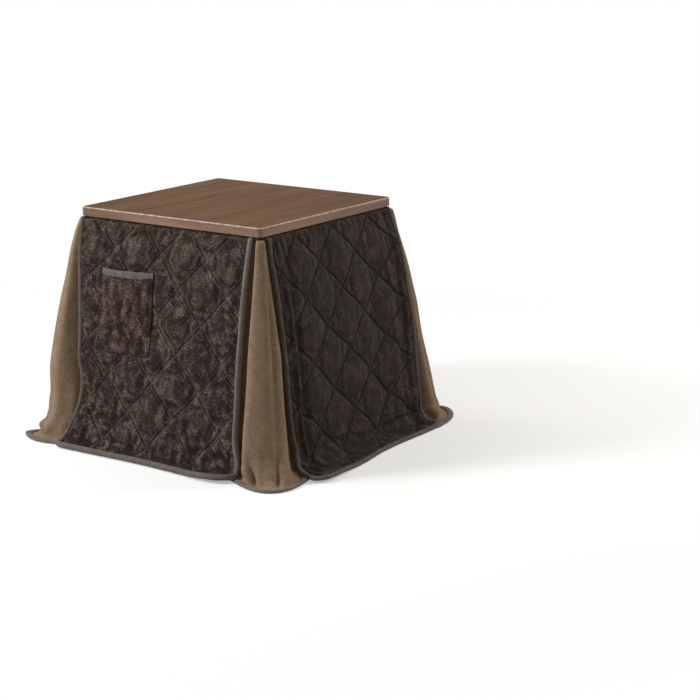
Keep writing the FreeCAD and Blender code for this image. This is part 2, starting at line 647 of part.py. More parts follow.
REFLECTOR_AXIS = f"({CASING_BOTTOM} + reflector_crown - reflector_radius - reflector_sheet)"


def reflector_roll(name, radius):
    """The round roll that shapes the reflector, along X."""
    start = ("-casing_length / 2", "0", REFLECTOR_AXIS)
    return rod(name, radius, "casing_length", start, ACROSS_X)


def build_reflector_and_tube():
    """Aluminium trough on four posts, with the quartz tube, its filament, end caps and holders."""
    outer_roll = reflector_roll("outer_roll", "reflector_radius + reflector_sheet")
    inner_roll = reflector_roll("inner_roll", "reflector_radius")
    trough = box(
        "trough_cut", (REFLECTOR_LENGTH, REFLECTOR_WIDTH, "reflector_crown + hole_overrun"),
        (f"-{REFLECTOR_LENGTH} / 2", f"-{REFLECTOR_WIDTH} / 2", CASING_BOTTOM),
    )
    vent = rod("vent", "reflector_vent_radius", "reflector_crown + hole_overrun", ("0", "0", CASING_BOTTOM))
    shell = common("trough", cut("roll", outer_roll, inner_roll), trough)
    keep(cut("reflector_sheet_part", shell, vent), "heater_reflector")
    post_start = (
        f"{REFLECTOR_LENGTH} * {POST_ALONG_share}", f"-{REFLECTOR_WIDTH} * {POST_ACROSS_share}", CASING_BOTTOM
    )
    post_height = "casing_height - casing_sheet"
    post = cut("post", rod("post_rod", "reflector_post_radius", post_height, post_start), outer_roll)
    keep(four_corners("posts", post), "reflector_posts")
    start = (f"-{TUBE_LENGTH} / 2", "0", TUBE_MIDDLE)
    glass = rod("glass", "tube_radius", TUBE_LENGTH, start, ACROSS_X)
    bore = rod("glass_bore", "tube_radius - tube_wall", f"{TUBE_LENGTH} + 2 * hole_overrun",
               (f"-{TUBE_LENGTH} / 2 - hole_overrun", "0", TUBE_MIDDLE), ACROSS_X)
    keep(cut("tube", glass, bore), "quartz_tube")
    keep(rod("filament", "filament_radius", TUBE_LENGTH, start, ACROSS_X), "heating_filament")
    cap_start = f"{TUBE_LENGTH} / 2 - cap_overlap"
    cap_corner = (cap_start, "-cap_size / 2", TUBE_MIDDLE + " - cap_size / 2")
    block = box("cap_block", ("cap_length", "cap_size", "cap_size"), cap_corner)
    socket_start = (cap_start + " - hole_overrun", "0", TUBE_MIDDLE)
    socket = rod("cap_socket", "tube_radius", "cap_overlap + hole_overrun", socket_start, ACROSS_X)
    keep(both_sides("caps", cut("cap", block, socket), ACROSS_X), "tube_end_caps")
    holder_block = box(
        "holder_block", ("cap_length", "cap_size", "reflector_crown"), (
            cap_start, "-cap_size / 2", TUBE_MIDDLE + " + cap_size / 2"
        )
    )
    keep(both_sides("holders", common("holder", holder_block, inner_roll), ACROSS_X), "tube_holders")


def build_guard():
    """Wire guard under the heater: a flat rim crossed by bars."""
    bottom = CASING_BOTTOM + " - guard_drop"
    outer = block_body(
        "guard_block", ("casing_length", "casing_width", "guard_drop"),
        ("-casing_length / 2", "-casing_width / 2", bottom), "casing_corner_radius",
    )
    span_x = "(casing_length - 2 * guard_rim)"
    span_y = "(casing_width - 2 * guard_rim)"
    inner_corner = (
        "-casing_length / 2 + guard_rim", "-casing_width / 2 + guard_rim", bottom + " - hole_overrun"
    )
    inner = box("guard_room", (span_x, span_y, "guard_drop + 2 * hole_overrun"), inner_corner)
    bars = []
    for number in range(1, int(SIZE["guard_cells_x"])):
        middle = f"-casing_length / 2 + guard_rim + {span_x} * {number} / guard_cells_x - guard_wire / 2"
        start = (middle, "-casing_width / 2 + guard_rim / 2", bottom)
        bars.append(box(f"bar_x_{number}", ("guard_wire", "casing_width - guard_rim", "guard_wire"), start))
    for number in range(1, int(SIZE["guard_cells_y"])):
        middle = f"-casing_width / 2 + guard_rim + {span_y} * {number} / guard_cells_y - guard_wire / 2"
        start = ("-casing_length / 2 + guard_rim / 2", middle, bottom)
        bars.append(box(
            f"bar_y_{number}", ("casing_length - guard_rim", "guard_wire", "guard_wire"), start
        ))
    keep(fuse("guard", cut("guard_rim_ring", outer, inner), *bars), "heater_guard")


MOTOR_BOTTOM = f"({CASING_CEILING} - motor_plate_thickness - motor_height)"
IMPELLER_TOP = f"({MOTOR_BOTTOM} - impeller_gap)"


def build_fan():
    """Motor on its plate under the casing's top, and the wheel that turns on its shaft."""
    plate_corner = (
        "-motor_plate_length / 2", "-motor_plate_width / 2", CASING_CEILING + " - motor_plate_thickness"
    )
    lengths = ("motor_plate_length", "motor_plate_width", "motor_plate_thickness")
    keep(box("plate", lengths, plate_corner), "motor_plate")
    drum = rod("motor_drum", "motor_radius", "motor_height", ("0", "0", MOTOR_BOTTOM))
    bore = rod(
        "motor_bore", "shaft_radius + running_clearance", "shaft_engagement + hole_overrun + fit_clearance",
        ("0", "0", MOTOR_BOTTOM + " - hole_overrun"),
    )
    keep(cut("motor", drum, bore), "fan_motor")
    disc = rod(
        "impeller_disc", "impeller_radius", "impeller_plate",
        ("0", "0", IMPELLER_TOP + " - impeller_plate"),
    )
    hub = rod(
        "impeller_hub", "impeller_hub_radius", "impeller_height",
        ("0", "0", IMPELLER_TOP + " - impeller_height"),
    )
    blades = []
    count = int(SIZE["blade_count"])
    for number in range(count):
        blade = doc.addObject("Part::Box", f"blade_{number}")
        reach = f"impeller_radius * {BLADE_share}"
        bind(
            blade,
            {"Length": reach, "Width": "blade_thickness", "Height": "impeller_height - impeller_plate / 2"},
        )
        blade.Placement = Placement(
            Vector(), Rotation(Vector(0, 0, 1), math.degrees(math.tau) * number / count)
        )
        blades.append(placed(blade, ("0", "0", IMPELLER_TOP + " - impeller_height")))
    wheel = fuse("impeller_wheel", disc, hub, *blades)
    shaft_bottom = IMPELLER_TOP + " - impeller_height"
    shaft_length = "impeller_height + impeller_gap + shaft_engagement"
    shaft = keep(rod("shaft", "shaft_radius", shaft_length, ("0", "0", shaft_bottom)), "fan_shaft")
    keep(cut("impeller", wheel, shaft), "fan_impeller")


FUSE_X = f"(-{REFLECTOR_LENGTH} * {CONTROL_ALONG_share})"
FUSE_Y = f"({REFLECTOR_WIDTH} * {CONTROL_ACROSS_share})"
FUSE_Z = f"({CASING_CEILING} - fuse_clip_thickness - fuse_radius)"
THERMOSTAT_Y = f"(-{REFLECTOR_WIDTH} * {CONTROL_ACROSS_share})"


def build_controls():
    """Thermostat, thermal fuse on its clip, and the plug inlet with its pins."""
    thermostat_start = (FUSE_X, THERMOSTAT_Y, CASING_CEILING + " - thermostat_height")
    keep(rod("thermostat_disc", "thermostat_radius", "thermostat_height", thermostat_start), "thermostat")
    fuse_start = (FUSE_X + " - fuse_length / 2", FUSE_Y, FUSE_Z)
    barrel = keep(rod("fuse_barrel", "fuse_radius", "fuse_length", fuse_start, ACROSS_X), "thermal_fuse")
    clip = box(
        "clip_block", ("fuse_length / 2", "2 * fuse_radius", "fuse_clip_thickness + fuse_radius"),
        (FUSE_X + " - fuse_length / 4", FUSE_Y + " - fuse_radius", FUSE_Z),
    )
    keep(cut("clip", clip, barrel), "fuse_clip")
    outer_end = INLET_FACE + " - inlet_proud"
    shell = inlet_block("inlet_shell", "0", outer_end, "inlet_proud + inlet_behind")
    flange = inlet_block("inlet_flange", "inlet_wall", INLET_FACE + " - inlet_wall", "inlet_wall")
    depth = "inlet_proud + inlet_behind - inlet_wall + hole_overrun"
    room = inlet_block("inlet_room", "-inlet_wall", outer_end + " - hole_overrun", depth)
    floor = f"({INLET_FACE} + inlet_behind - inlet_wall)"
    pins = []
    for side in ("-", "+"):
        start = (floor + " - pin_length", f"inlet_offset {side} pin_pitch / 2", INLET_MIDDLE)
        pins.append(rod(
            "pin_low" if side == "-" else "pin_high", "pin_radius", "pin_length + 2 * inlet_wall", start,
            ACROSS_X,
        ))
    keep(cut("inlet", fuse("inlet_solid", shell, flange), room, *pins), "inlet_housing")
    keep(group("pins", *pins), "inlet_pins")


def bent_wire(points, radius, bend):
    """A round wire along straight runs, with rounded bends between them."""
    edges = []
    start = points[0]
    for before, corner, after in zip(points, points[1:], points[2:]):
        way_in = (corner - before).normalize()
        way_out = (after - corner).normalize()
        turn = way_in.getAngle(way_out)
        trim = bend * math.tan(turn * HALF)
        arc_start = corner - way_in * trim
        arc_end = corner + way_out * trim
        inward = (way_out - way_in).normalize()
        middle = corner + inward * (bend / math.cos(turn * HALF) - bend)
        edges.append(Part.makeLine(start, arc_start))
        edges.append(Part.Arc(arc_start, middle, arc_end).toShape())
        start = arc_end
    edges.append(Part.makeLine(start, points[-1]))
    path = Part.Wire(edges)
    section = Part.Wire(Part.makeCircle(radius, points[0], points[1] - points[0]))
    return path.makePipeShell([section], True, False)


def build_leads():
    """Heater's inner leads, above the reflector and down past its ends to the tube."""
    frame_top = SKIRT_TOP - SIZE["cover_top_thickness"] - SIZE["cloth_gap"]
    ceiling = frame_top - SIZE["rail_drop"] - SIZE["rail_thickness"] - SIZE["casing_sheet"]
    bottom = ceiling + SIZE["casing_sheet"] - SIZE["casing_height"]
    reflector_length = SIZE["casing_length"] - 2 * SIZE["reflector_end_room"]
    reflector_width = SIZE["casing_width"] - 2 * SIZE["reflector_side_room"]
    tube_length = reflector_length - 2 * SIZE["tube_end_room"]
    pin_x = -SIZE["casing_length"] * HALF + SIZE["inlet_behind"] + SIZE["inlet_wall"]
    pin_z = bottom + SIZE["casing_height"] * HALF
    fuse_z = ceiling - SIZE["fuse_clip_thickness"] - SIZE["fuse_radius"]
    side_x = (reflector_length + SIZE["casing_length"]) * HALF * HALF
    cap_x = tube_length * HALF - SIZE["cap_overlap"] + SIZE["cap_length"]
    tube_z = bottom + SIZE["tube_rise"]
    fuse_x = -reflector_length * CONTROL_ALONG_share
    row_y = reflector_width * CONTROL_ACROSS_share
    turn_x = pin_x + 2 * SIZE["lead_bend"]
    high = SIZE["inlet_offset"] + SIZE["pin_pitch"] * HALF
    low = SIZE["inlet_offset"] - SIZE["pin_pitch"] * HALF
    step = SIZE["thermostat_radius"] * HALF
    disc_x = fuse_x - math.sqrt(SIZE["thermostat_radius"] ** 2 - (step - SIZE["lead_radius"]) ** 2)
    routes = (
        (
            (pin_x, high, pin_z), (turn_x, high, pin_z), (turn_x, row_y, fuse_z),
            (fuse_x - SIZE["fuse_length"] * HALF, row_y, fuse_z),
        ),
        ((fuse_x + SIZE["fuse_length"] * HALF, row_y, fuse_z), (side_x, row_y, fuse_z), (side_x, 0, fuse_z),
         (side_x, 0, tube_z), (cap_x, 0, tube_z)),
        ((pin_x, low, pin_z), (turn_x, low, pin_z), (turn_x, low - 2 * SIZE["lead_bend"], fuse_z),
         (turn_x, step - row_y, fuse_z), (disc_x, step - row_y, fuse_z)),
        ((disc_x, -step - row_y, fuse_z), (-side_x, -step - row_y, fuse_z), (-side_x, 0, fuse_z),
         (-side_x, 0, tube_z), (-cap_x, 0, tube_z)),
    )
    wires = []
    for route in routes:
        points = [Vector(*point) for point in route]
        wires.append(bent_wire(points, SIZE["lead_radius"], SIZE["lead_bend"]))
    leads = doc.addObject("Part::Feature", "leads")
    leads.Shape = Part.Compound(wires)
    keep(leads, "heater_leads")




def between(table, place):
    """A table's value at a place, on straight lines between its entries."""
    table = sorted(table)
    for (low, first), (high, second) in zip(table, table[1:]):
        if place <= high:
            return first + (second - first) * (max(place, low) - low) / (high - low)
    return table[-1][1]


def reach_at(height):
    """How far a smooth panel's outer face stands past the board's side at a height."""
    return between(ROWS, height)


def front_place(along, out, height):
    """A point of the front panel: along it, out from the middle, and up."""
    return Vector(along, -out, height)


def right_place(along, out, height):
    """A point of the right panel: along it, out from the middle, and up."""
    return Vector(out, along, height)


PANELS = {
    "front": (
        SIZE["panel_width_front"], SIZE["board_depth"], WAVE_FRONT_shares, HEM_FRONT_shares,
        SIZE["hem_reach_front"], front_place,
    ),
    "right": (
        SIZE["panel_width_right"], SIZE["board_width"], WAVE_RIGHT_shares, HEM_RIGHT_shares,
        SIZE["hem_reach_right"], right_place,
    ),
}


# Stitch lines: a crossing's place along and height, and half a diamond each way
STITCHES = {
    side: tuple(SIZE[f"stitch_{name}_{side}"] for name in ("start", "height", "step", "drop"))
    for side in PANELS
}
LEAST_PUFF_share = 0.35


def hem_at(side, along):
    """The hem's distance from the middle, without its binding."""
    width, board, waves, hems, hem_reach, place = PANELS[side]
    return board * HALF + hem_reach * between(hems, along / (width * HALF))


def panel_section(side, along, proud):
    """A panel's closed outline across it: down its face, over the knee, along the floor and back."""
    width, board, waves, hems, hem_reach, place = PANELS[side]
    wave = SIZE["fold_depth"] * between(waves, along / (width * HALF))
    outside, inside = [], []
    for number, (height, reach) in enumerate(ROWS):
        out = board * HALF + reach + wave * min(1, number / FULL_WAVE_ROW)
        outside.append((out + proud * min(1, number), height))
        inside.append((out - QUILT, height))
    low = SIZE["floor_gap"]
    high = low + QUILT + proud
    foot = outside[-1][0] - proud + SIZE["knee_run"]
    hem = hem_at(side, along)

    def point(pair):
        return place(along, *pair)

    def knee(start, end):
        out = start[0] + (end[0] - start[0]) * KNEE_OUT_share
        height = start[1] + (end[1] - start[1]) * KNEE_DOWN_share
        return Part.Arc(point(start), point((out, height)), point(end)).toShape()

    def line(start, end):
        return Part.makeLine(point(start), point(end))

    edges = [line(*pair) for pair in zip(outside, outside[1:])]
    edges.append(knee(outside[-1], (foot, high)))
    edges.append(line((foot, high), (hem, high)))
    edges.append(line((hem, high), (hem, low)))
    edges.append(line((hem, low), (foot, low)))
    edges.append(knee(inside[-1], (foot, low)))
    edges.extend(line(*pair) for pair in zip(inside[::-1], inside[-2::-1]))
    half = QUILT * HALF
    slant = half * math.sqrt(HALF)
    middle, height = inside[0][0] + half, inside[0][1]
    crown = point((middle, height + half))
    edges.append(Part.Arc(point(inside[0]), point((middle - slant, height + slant)), crown).toShape())
    edges.append(Part.Arc(crown, point((middle + slant, height + slant)), point(outside[0])).toShape())
    return Part.Wire(Part.__sortEdges__(edges))


def stations(side, edge):
    """Places along a panel where its outline changes, out to an edge on both sides."""
    width, board, waves, hems, hem_reach, place = PANELS[side]
    places = {share * width * HALF for share, value in waves + hems}
    inner = sorted(place for place in places if abs(place) < edge)
    return [-edge] + inner + [edge]


def loft(sections):
    """A solid through closed outlines, straight from each to the next."""
    return Part.makeLoft(sections, True, True)


def cloth(name, shape, node=None):
    """A cloth shape, kept as a finished sub-part where it has a node."""
    piece = doc.addObject("Part::Feature", name)
    piece.Shape = shape
    if node:
        keep(piece, node)
    return piece


def face_at(side, along, height):
    """How far out a panel's face is, at a place along it and a height above its knee."""
    width, board, waves, hems, hem_reach, place = PANELS[side]
    wave = SIZE["fold_depth"] * between(waves, along / (width * HALF))
    outs = [
        (row, board * HALF + reach + wave * min(1, number / FULL_WAVE_ROW))
        for number, (row, reach) in enumerate(ROWS)
    ]
    return between(outs[::-1], height)


def clipped(corners, axis, low, high):
    """The part of a flat outline that lies between two limits along one axis."""
    for limit, side in ((low, 1), (high, -1)):
        kept = []
        for here, there in zip(corners, corners[1:] + corners[:1]):
            here_in = (here[axis] - limit) * side >= 0
            there_in = (there[axis] - limit) * side >= 0
            if here_in:
                kept.append(here)
            if here_in != there_in:
                share = (limit - here[axis]) / (there[axis] - here[axis])
                kept.append(tuple(start + (end - start) * share for start, end in zip(here, there)))
        corners = kept
    return corners


def puff(side, corners):
    """One padded diamond: a low pyramid on a panel's face, its underside inside the quilt."""
    place = PANELS[side][-1]
    middle = [sum(corner[axis] for corner in corners) / len(corners) for axis in (0, 1)]
    out = face_at(side, *middle)
    rim = [place(along, face_at(side, along, height) - SIZE["puff_seat"], height) for along, height in corners]
    faces = []
    for tip in (out + SIZE["puff_height"], out - QUILT * HALF):
        top = place(middle[0], tip, middle[1])
        for here, there in zip(rim, rim[1:] + rim[:1]):
            faces.append(Part.Face(Part.makePolygon([here, there, top, here])))
    shape = Part.Solid(Part.makeShell(faces))
    if shape.Volume < 0:
        shape.reverse()
    return shape


def puffs(side):
    """The padded diamonds between a panel's stitch lines, from its knee to its top."""
    start, height, step, drop = STITCHES[side]
    gap = SIZE["stitch_gap"]
    seam = PANELS[side][0] * HALF - SIZE["binding_width"] - gap
    count = int(SKIRT_TOP / min(step, drop))
    shapes = []
    for column in range(-count, count + 1):
        for row in range(-count, count + 1):
            if (column + row) % 2 == 0:
                continue
            along = start + column * step
            up = height + row * drop
            corners = [(along - step + gap, up), (along, up - drop + gap)]
            corners += [(along + step - gap, up), (along, up + drop - gap)]
            corners = clipped(corners, 0, -seam, seam)
            corners = clipped(corners, 1, ROWS[-1][0] + gap, ROWS[0][0] - gap)
            spans = [max(place[axis] for place in corners) - min(place[axis] for place in corners)
                     for axis in (0, 1) if corners]
            if spans and min(spans[0] / step, spans[1] / drop) > LEAST_PUFF_share:
                shapes.append(puff(side, corners))
    return shapes


def pocket_patch():
    """The block of the front panel that the pocket covers, where no diamond is padded."""
    gap = SIZE["stitch_gap"]
    deep = SIZE["board_depth"]
    left = -SIZE["pocket_left"] - gap
    corner = Vector(left, -deep, SIZE["pocket_bottom"] - gap)
    return Part.makeBox(SIZE["pocket_width"] + 2 * gap, deep, SIZE["pocket_height"] + 2 * gap, corner)


def build_panel(side, opposite, quilts, bindings):
    """A quilted panel with its binding on three sides, and the same on the opposite side."""
    width, board, waves, hems, hem_reach, place = PANELS[side]
    edge = width * HALF
    seam = edge - SIZE["binding_width"]
    flat = loft([panel_section(side, along, 0) for along in stations(side, seam)])
    padding = puffs(side)
    quilt = flat.fuse(padding)
    whole = cloth("padded_" + side, quilt)
    if side == "front":
        quilt = flat.fuse([shape.cut(pocket_patch()) for shape in padding])
    tapes = []
    for near, far in ((-edge, -seam), (seam, edge)):
        tapes.append(loft([panel_section(side, along, SIZE["binding_proud"]) for along in (near, far)]))
    ends = []
    for along in sorted({*stations(side, seam), *stations(side, edge)}):
        hem = hem_at(side, along)
        low = SIZE["floor_gap"]
        high = low + QUILT + SIZE["binding_proud"]
        corners = (
            (hem, low), (hem + SIZE["binding_width"], low), (hem + SIZE["binding_width"], high),
            (hem, high), (hem, low),
        )
        ends.append(Part.makePolygon([place(along, *corner) for corner in corners]))
    tape = tapes[0].fuse([tapes[1], loft(ends)]).removeSplitter()
    cloth("quilt_" + side, quilt, quilts[0])
    binding = cloth("binding_" + side, tape, bindings[0])
    keep(mirrored("quilt_" + quilts[1], whole, opposite), quilts[1])
    keep(mirrored("binding_" + quilts[1], binding, opposite), bindings[1])


def corner_point(out, across, height):
    """A point of the front right gusset, out along the corner's diagonal and across it."""
    slant = math.sqrt(HALF)
    return Vector((out + across) * slant, (across - out) * slant, height)


def gusset_corners(height, share_row, tab_gap):
    """Four seam corners and the fold's three points at a height, in plan, front seam first."""
    reach = reach_at(height)
    ridge = (SIZE["board_width"] + SIZE["board_depth"]) * HALF * HALF + between(RIDGE_ROWS, share_row)
    half = between(FOLD_ROWS, share_row)
    crown = ridge * math.sqrt(2)
    shoulder = crown - half * FOLD_ROUND_share * HALF
    front_out = SIZE["board_depth"] * HALF + reach - QUILT
    right_out = SIZE["board_width"] * HALF + reach - QUILT - tab_gap
    front_seam = SIZE["panel_width_front"] * HALF
    right_seam = SIZE["panel_width_right"] * HALF
    start, tab = SIZE["gusset_start"], SIZE["gusset_tab"]
    return (
        Vector(front_seam - tab, -front_out, height), Vector(front_seam + start, -front_out, height),
        corner_point(shoulder, -half, height), corner_point(crown, 0, height), corner_point(
            shoulder, half, height
        ),
        Vector(right_out, -right_seam - start, height), Vector(right_out, -right_seam + tab, height),
    )


# Gusset's fold by row: the last row is the floor
RIDGE_ROWS = [(row, share * SIZE["ridge_reach"]) for row, share in enumerate(RIDGE_shares)]
FOLD_ROWS = [(row, share * SIZE["fold_half_width"]) for row, share in enumerate(FOLD_shares)]


def offset_inward(points, distance):
    """A plan line moved towards the table's middle by a distance, corner by corner."""
    moved = []
    for index, point in enumerate(points):
        before = points[max(index - 1, 0)]
        after = points[min(index + 1, len(points) - 1)]
        ways = [way for way in (point - before, after - point) if way.Length > 0]
        normals = [Vector(-way.y, way.x, 0).normalize() for way in ways]
        normal = (normals[0] + normals[-1]).normalize()
        moved.append(point + normal * (distance / normal.dot(normals[0])))
    return moved


def gusset_section(points):
    """The gusset's closed outline in plan, its fold's front rounded."""
    inner = offset_inward(points, SIZE["fleece_thickness"])

    def run(line):
        a, b, c, crown, e, f, g = line
        arc = Part.Arc(c, crown, e).toShape()
        return [Part.makeLine(a, b), Part.makeLine(b, c), arc, Part.makeLine(e, f), Part.makeLine(f, g)]

    edges = run(points) + [Part.makeLine(points[-1], inner[-1])] + run(inner) + [Part.makeLine(
        inner[0], points[0]
    )]
    return Part.Wire(Part.__sortEdges__(edges))


def floor_outline(reach, lap_points):
    """Cloth on the floor at the corner: from the seams out to a rounded hem, and back inside the fold."""
    gap = SIZE["cloth_gap"]
    height = SIZE["floor_gap"]
    left = SIZE["panel_width_front"] * HALF + gap
    low = SIZE["panel_width_right"] * HALF + gap
    out_x = SIZE["board_width"] * HALF + reach
    out_y = SIZE["board_depth"] * HALF + reach
    radius = SIZE["gusset_hem_radius"] + reach - SIZE["gusset_hem_reach"]
    slant = radius * (1 - math.sqrt(HALF))
    start = Vector(left, -out_y, height)
    bend = Vector(out_x - radius, -out_y, height)
    bend_middle = Vector(out_x - slant, -out_y + slant, height)
    bend_end = Vector(out_x, -out_y + radius, height)
    end = Vector(out_x, -low, height)
    edges = [
        Part.makeLine(start, bend), Part.Arc(bend, bend_middle, bend_end).toShape(),
        Part.makeLine(bend_end, end),
    ]
    back = [end] + lap_points + [start]
    edges.extend(Part.makeLine(*pair) for pair in zip(back, back[1:]))
    return Part.Face(Part.Wire(Part.__sortEdges__(edges)))


def build_gusset(tab_gap):
    """A plain corner gusset with its fold, its cloth on the floor and its bound hem, front and back."""
    sheet_bottom = SKIRT_TOP - SIZE["cover_top_thickness"]
    heights = [sheet_bottom] + [height for height, reach in ROWS[1:]] + [SIZE["floor_gap"]]
    rings = [gusset_corners(height, row, tab_gap) for row, height in enumerate(heights)]
    fold = loft([gusset_section(ring) for ring in rings])
    foot = offset_inward(rings[-1][1:6], SIZE["fleece_thickness"])
    foot_lap = offset_inward(rings[-1][2:5], SIZE["gusset_lap"])
    left = SIZE["panel_width_front"] * HALF + SIZE["cloth_gap"]
    low = SIZE["panel_width_right"] * HALF + SIZE["cloth_gap"]
    lap = [Vector(foot[4].x, -low, foot[4].z)] + foot_lap[::-1] + [Vector(left, foot[0].y, foot[0].z)]
    apron = floor_outline(SIZE["gusset_hem_reach"], lap).extrude(Vector(0, 0, SIZE["fleece_thickness"]))
    body = fold.fuse(apron).removeSplitter()
    full = SIZE["gusset_hem_reach"] + SIZE["binding_width"]
    inner_corner = [Vector(left, -low, SIZE["floor_gap"])]
    rise = Vector(0, 0, SIZE["gusset_binding_height"])
    whole = floor_outline(full, inner_corner).extrude(rise)
    inside = floor_outline(SIZE["gusset_hem_reach"], inner_corner).extrude(rise)
    return body, whole.cut(inside)


def build_cover():
    """Top sheet, four quilted panels, four gussets and the pocket."""
    inner = f"panel_lean * {FALL_shares[0][1]} - quilt_thickness"
    lengths = (
        f"board_width + 2 * ({inner}) - cloth_gap", f"board_depth + 2 * ({inner})", "cover_top_thickness"
    )
    corner = (f"-board_width / 2 - ({inner})", f"-board_depth / 2 - ({inner})", FRAME_TOP + " + cloth_gap")
    keep(block_body("top_cloth", lengths, corner, "board_corner_radius"), "cover_top_sheet")
    build_panel(
        "front", ACROSS_Y, ("panel_front", "panel_back"), ("panel_front_binding", "panel_back_binding")
    )
    build_panel(
        "right", ACROSS_X, ("panel_right", "panel_left"), ("panel_right_binding", "panel_left_binding")
    )
    for side, tab_gap in (("right", SIZE["cloth_gap"]), ("left", 0)):
        body, hem = build_gusset(tab_gap)
        shapes = (("gusset", body), ("gusset_hem", hem))
        for kind, shape in shapes:
            node = f"{kind}_front_{side}" if kind == "gusset" else f"gusset_front_{side}_hem"
            back_node = node.replace("front", "back")
            if side == "left":
                shape = shape.mirror(Vector(0, 0, 0), Vector(*ACROSS_X))
            front = cloth(f"{kind}_{side}", shape, node)
            keep(mirrored(f"{kind}_{side}_back", front, ACROSS_Y), back_node)


def pocket_slab(low, high, near, far, left, right):
    """A slab that follows the front panel's face between two heights and two distances from it."""
    heights = [low] + sorted(height for height, reach in ROWS if low < height < high) + [high]
    face = [(SIZE["board_depth"] * HALF + reach_at(height), height) for height in heights]
    corners = [(out + near, height) for out, height in face] + [
        (out + far, height) for out, height in face[::-1]
    ]
    points = [front_place(left, *pair) for pair in corners]
    return Part.Face(Part.makePolygon(points + points[:1])).extrude(Vector(right - left, 0, 0))


def build_pocket():
    """Patch pocket on the front panel, open above, with tape along its mouth."""
    left = -SIZE["pocket_left"]
    right = left + SIZE["pocket_width"]
    low = SIZE["pocket_bottom"]
    high = low + SIZE["pocket_height"]
    room, wall = SIZE["pocket_room"], SIZE["pocket_cloth"]
    bag = pocket_slab(low, high, 0, room + wall, left, right)
    hollow = pocket_slab(
        low + wall, high + SIZE["hole_overrun"], -SIZE["hole_overrun"], room, left + wall, right - wall
    )
    cloth("pocket_bag", bag.cut(hollow), "pocket")
    tape_low = high - SIZE["pocket_binding_height"]
    outer = room + wall
    tape = pocket_slab(tape_low, high, outer, outer + SIZE["pocket_binding_thickness"], left, right)
    cloth("pocket_tape", tape, "pocket_binding")


def write_parts():
    """Checks every sub-part and writes each to its own file."""
    doc.recompute()
    os.makedirs("parts", exist_ok=True)
    for piece in subparts:
        wrong = [state for state in piece.State if state in ("Invalid", "Error")]
        shape = piece.Shape
        if wrong or shape.isNull() or not shape.isValid():
            raise RuntimeError(f"{piece.Label} did not build: {piece.State}")
        shape.exportStep(f"parts/{piece.Label}.step")


build_tabletop()
build_legs()
build_corner_joints()
build_aprons_and_rails()
build_casing()
build_reflector_and_tube()
build_guard()
build_fan()
build_controls()
build_leads()
build_cover()
build_pocket()
write_parts()
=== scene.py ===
"""The looks of a kotatsu table: a walnut-print board over a quilted cover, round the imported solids."""

import functools
import json
import math

import bmesh
import bpy
from mathutils import Matrix, Vector, noise

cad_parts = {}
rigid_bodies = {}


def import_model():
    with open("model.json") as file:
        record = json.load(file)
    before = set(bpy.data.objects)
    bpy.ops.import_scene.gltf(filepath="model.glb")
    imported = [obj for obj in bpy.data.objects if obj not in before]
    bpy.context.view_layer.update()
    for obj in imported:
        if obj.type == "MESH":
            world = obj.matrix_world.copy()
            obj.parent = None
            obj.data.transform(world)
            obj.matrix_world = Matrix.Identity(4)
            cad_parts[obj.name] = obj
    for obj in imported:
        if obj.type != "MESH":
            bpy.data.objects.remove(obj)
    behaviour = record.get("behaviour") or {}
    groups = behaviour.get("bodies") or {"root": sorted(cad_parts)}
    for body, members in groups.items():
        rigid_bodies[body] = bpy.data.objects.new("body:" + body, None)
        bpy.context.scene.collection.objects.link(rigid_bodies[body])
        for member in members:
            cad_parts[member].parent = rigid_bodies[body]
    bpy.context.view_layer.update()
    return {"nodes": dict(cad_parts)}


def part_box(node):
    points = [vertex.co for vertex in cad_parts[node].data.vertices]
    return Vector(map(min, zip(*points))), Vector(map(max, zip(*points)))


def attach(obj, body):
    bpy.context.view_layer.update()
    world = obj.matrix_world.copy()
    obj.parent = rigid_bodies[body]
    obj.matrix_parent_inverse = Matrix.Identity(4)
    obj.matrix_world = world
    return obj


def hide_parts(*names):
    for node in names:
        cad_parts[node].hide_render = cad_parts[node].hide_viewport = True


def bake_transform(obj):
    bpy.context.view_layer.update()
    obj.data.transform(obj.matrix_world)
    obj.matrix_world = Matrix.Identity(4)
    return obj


bl_info = {
    "name": "Kotatsu Table",
    "version": (1, 0, 0),
    "blender": (4, 5, 0),
    "location": "3D View > Sidebar > Kotatsu",
    "description": "Quilted cover, corner gussets, pocket and finishes of a kotatsu table",
    "category": "Object",
}

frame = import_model()
NODES = frame["nodes"]
BOARD_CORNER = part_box("board_edge_band")[1]

# Lengths below are millimetres, as a maker writes them; meshes are in metres
MM = 0.001

# The board's half side, and the rounding and the top of its rim
HALF_BOARD = round(BOARD_CORNER[0] / MM, 1)
RIM_ROUND = 2.5
RIM_TOP = BOARD_CORNER[2] / MM

# The skirt's panels: half a panel's width, its thickness, and its outer face where it lies on the floor
HALF_PANEL = 270.0
QUILT_LAYER = 9.0
FLOOR_FACE = 10.8

# How far the hem runs out past the knee, the depth of a panel's waves and the row that has them full
KNEE_RUN = 30.0
FOLD_DEPTH = 8.0
FULL_WAVE_ROW = 3

# Height of the skirt's rows from the seam to the knee, and how far each stands out past the board
FALL = (
    (605.2, 5.4),
    (536.5, 21.6),
    (463.4, 37.8),
    (353.6, 54.0),
    (274.4, 64.8),
    (195.1, 72.0),
    (121.9, 80.1),
    (67.1, 90.0),
)
SEAM_HEIGHT = FALL[0][0]
KNEE_HEIGHT = FALL[-1][0]


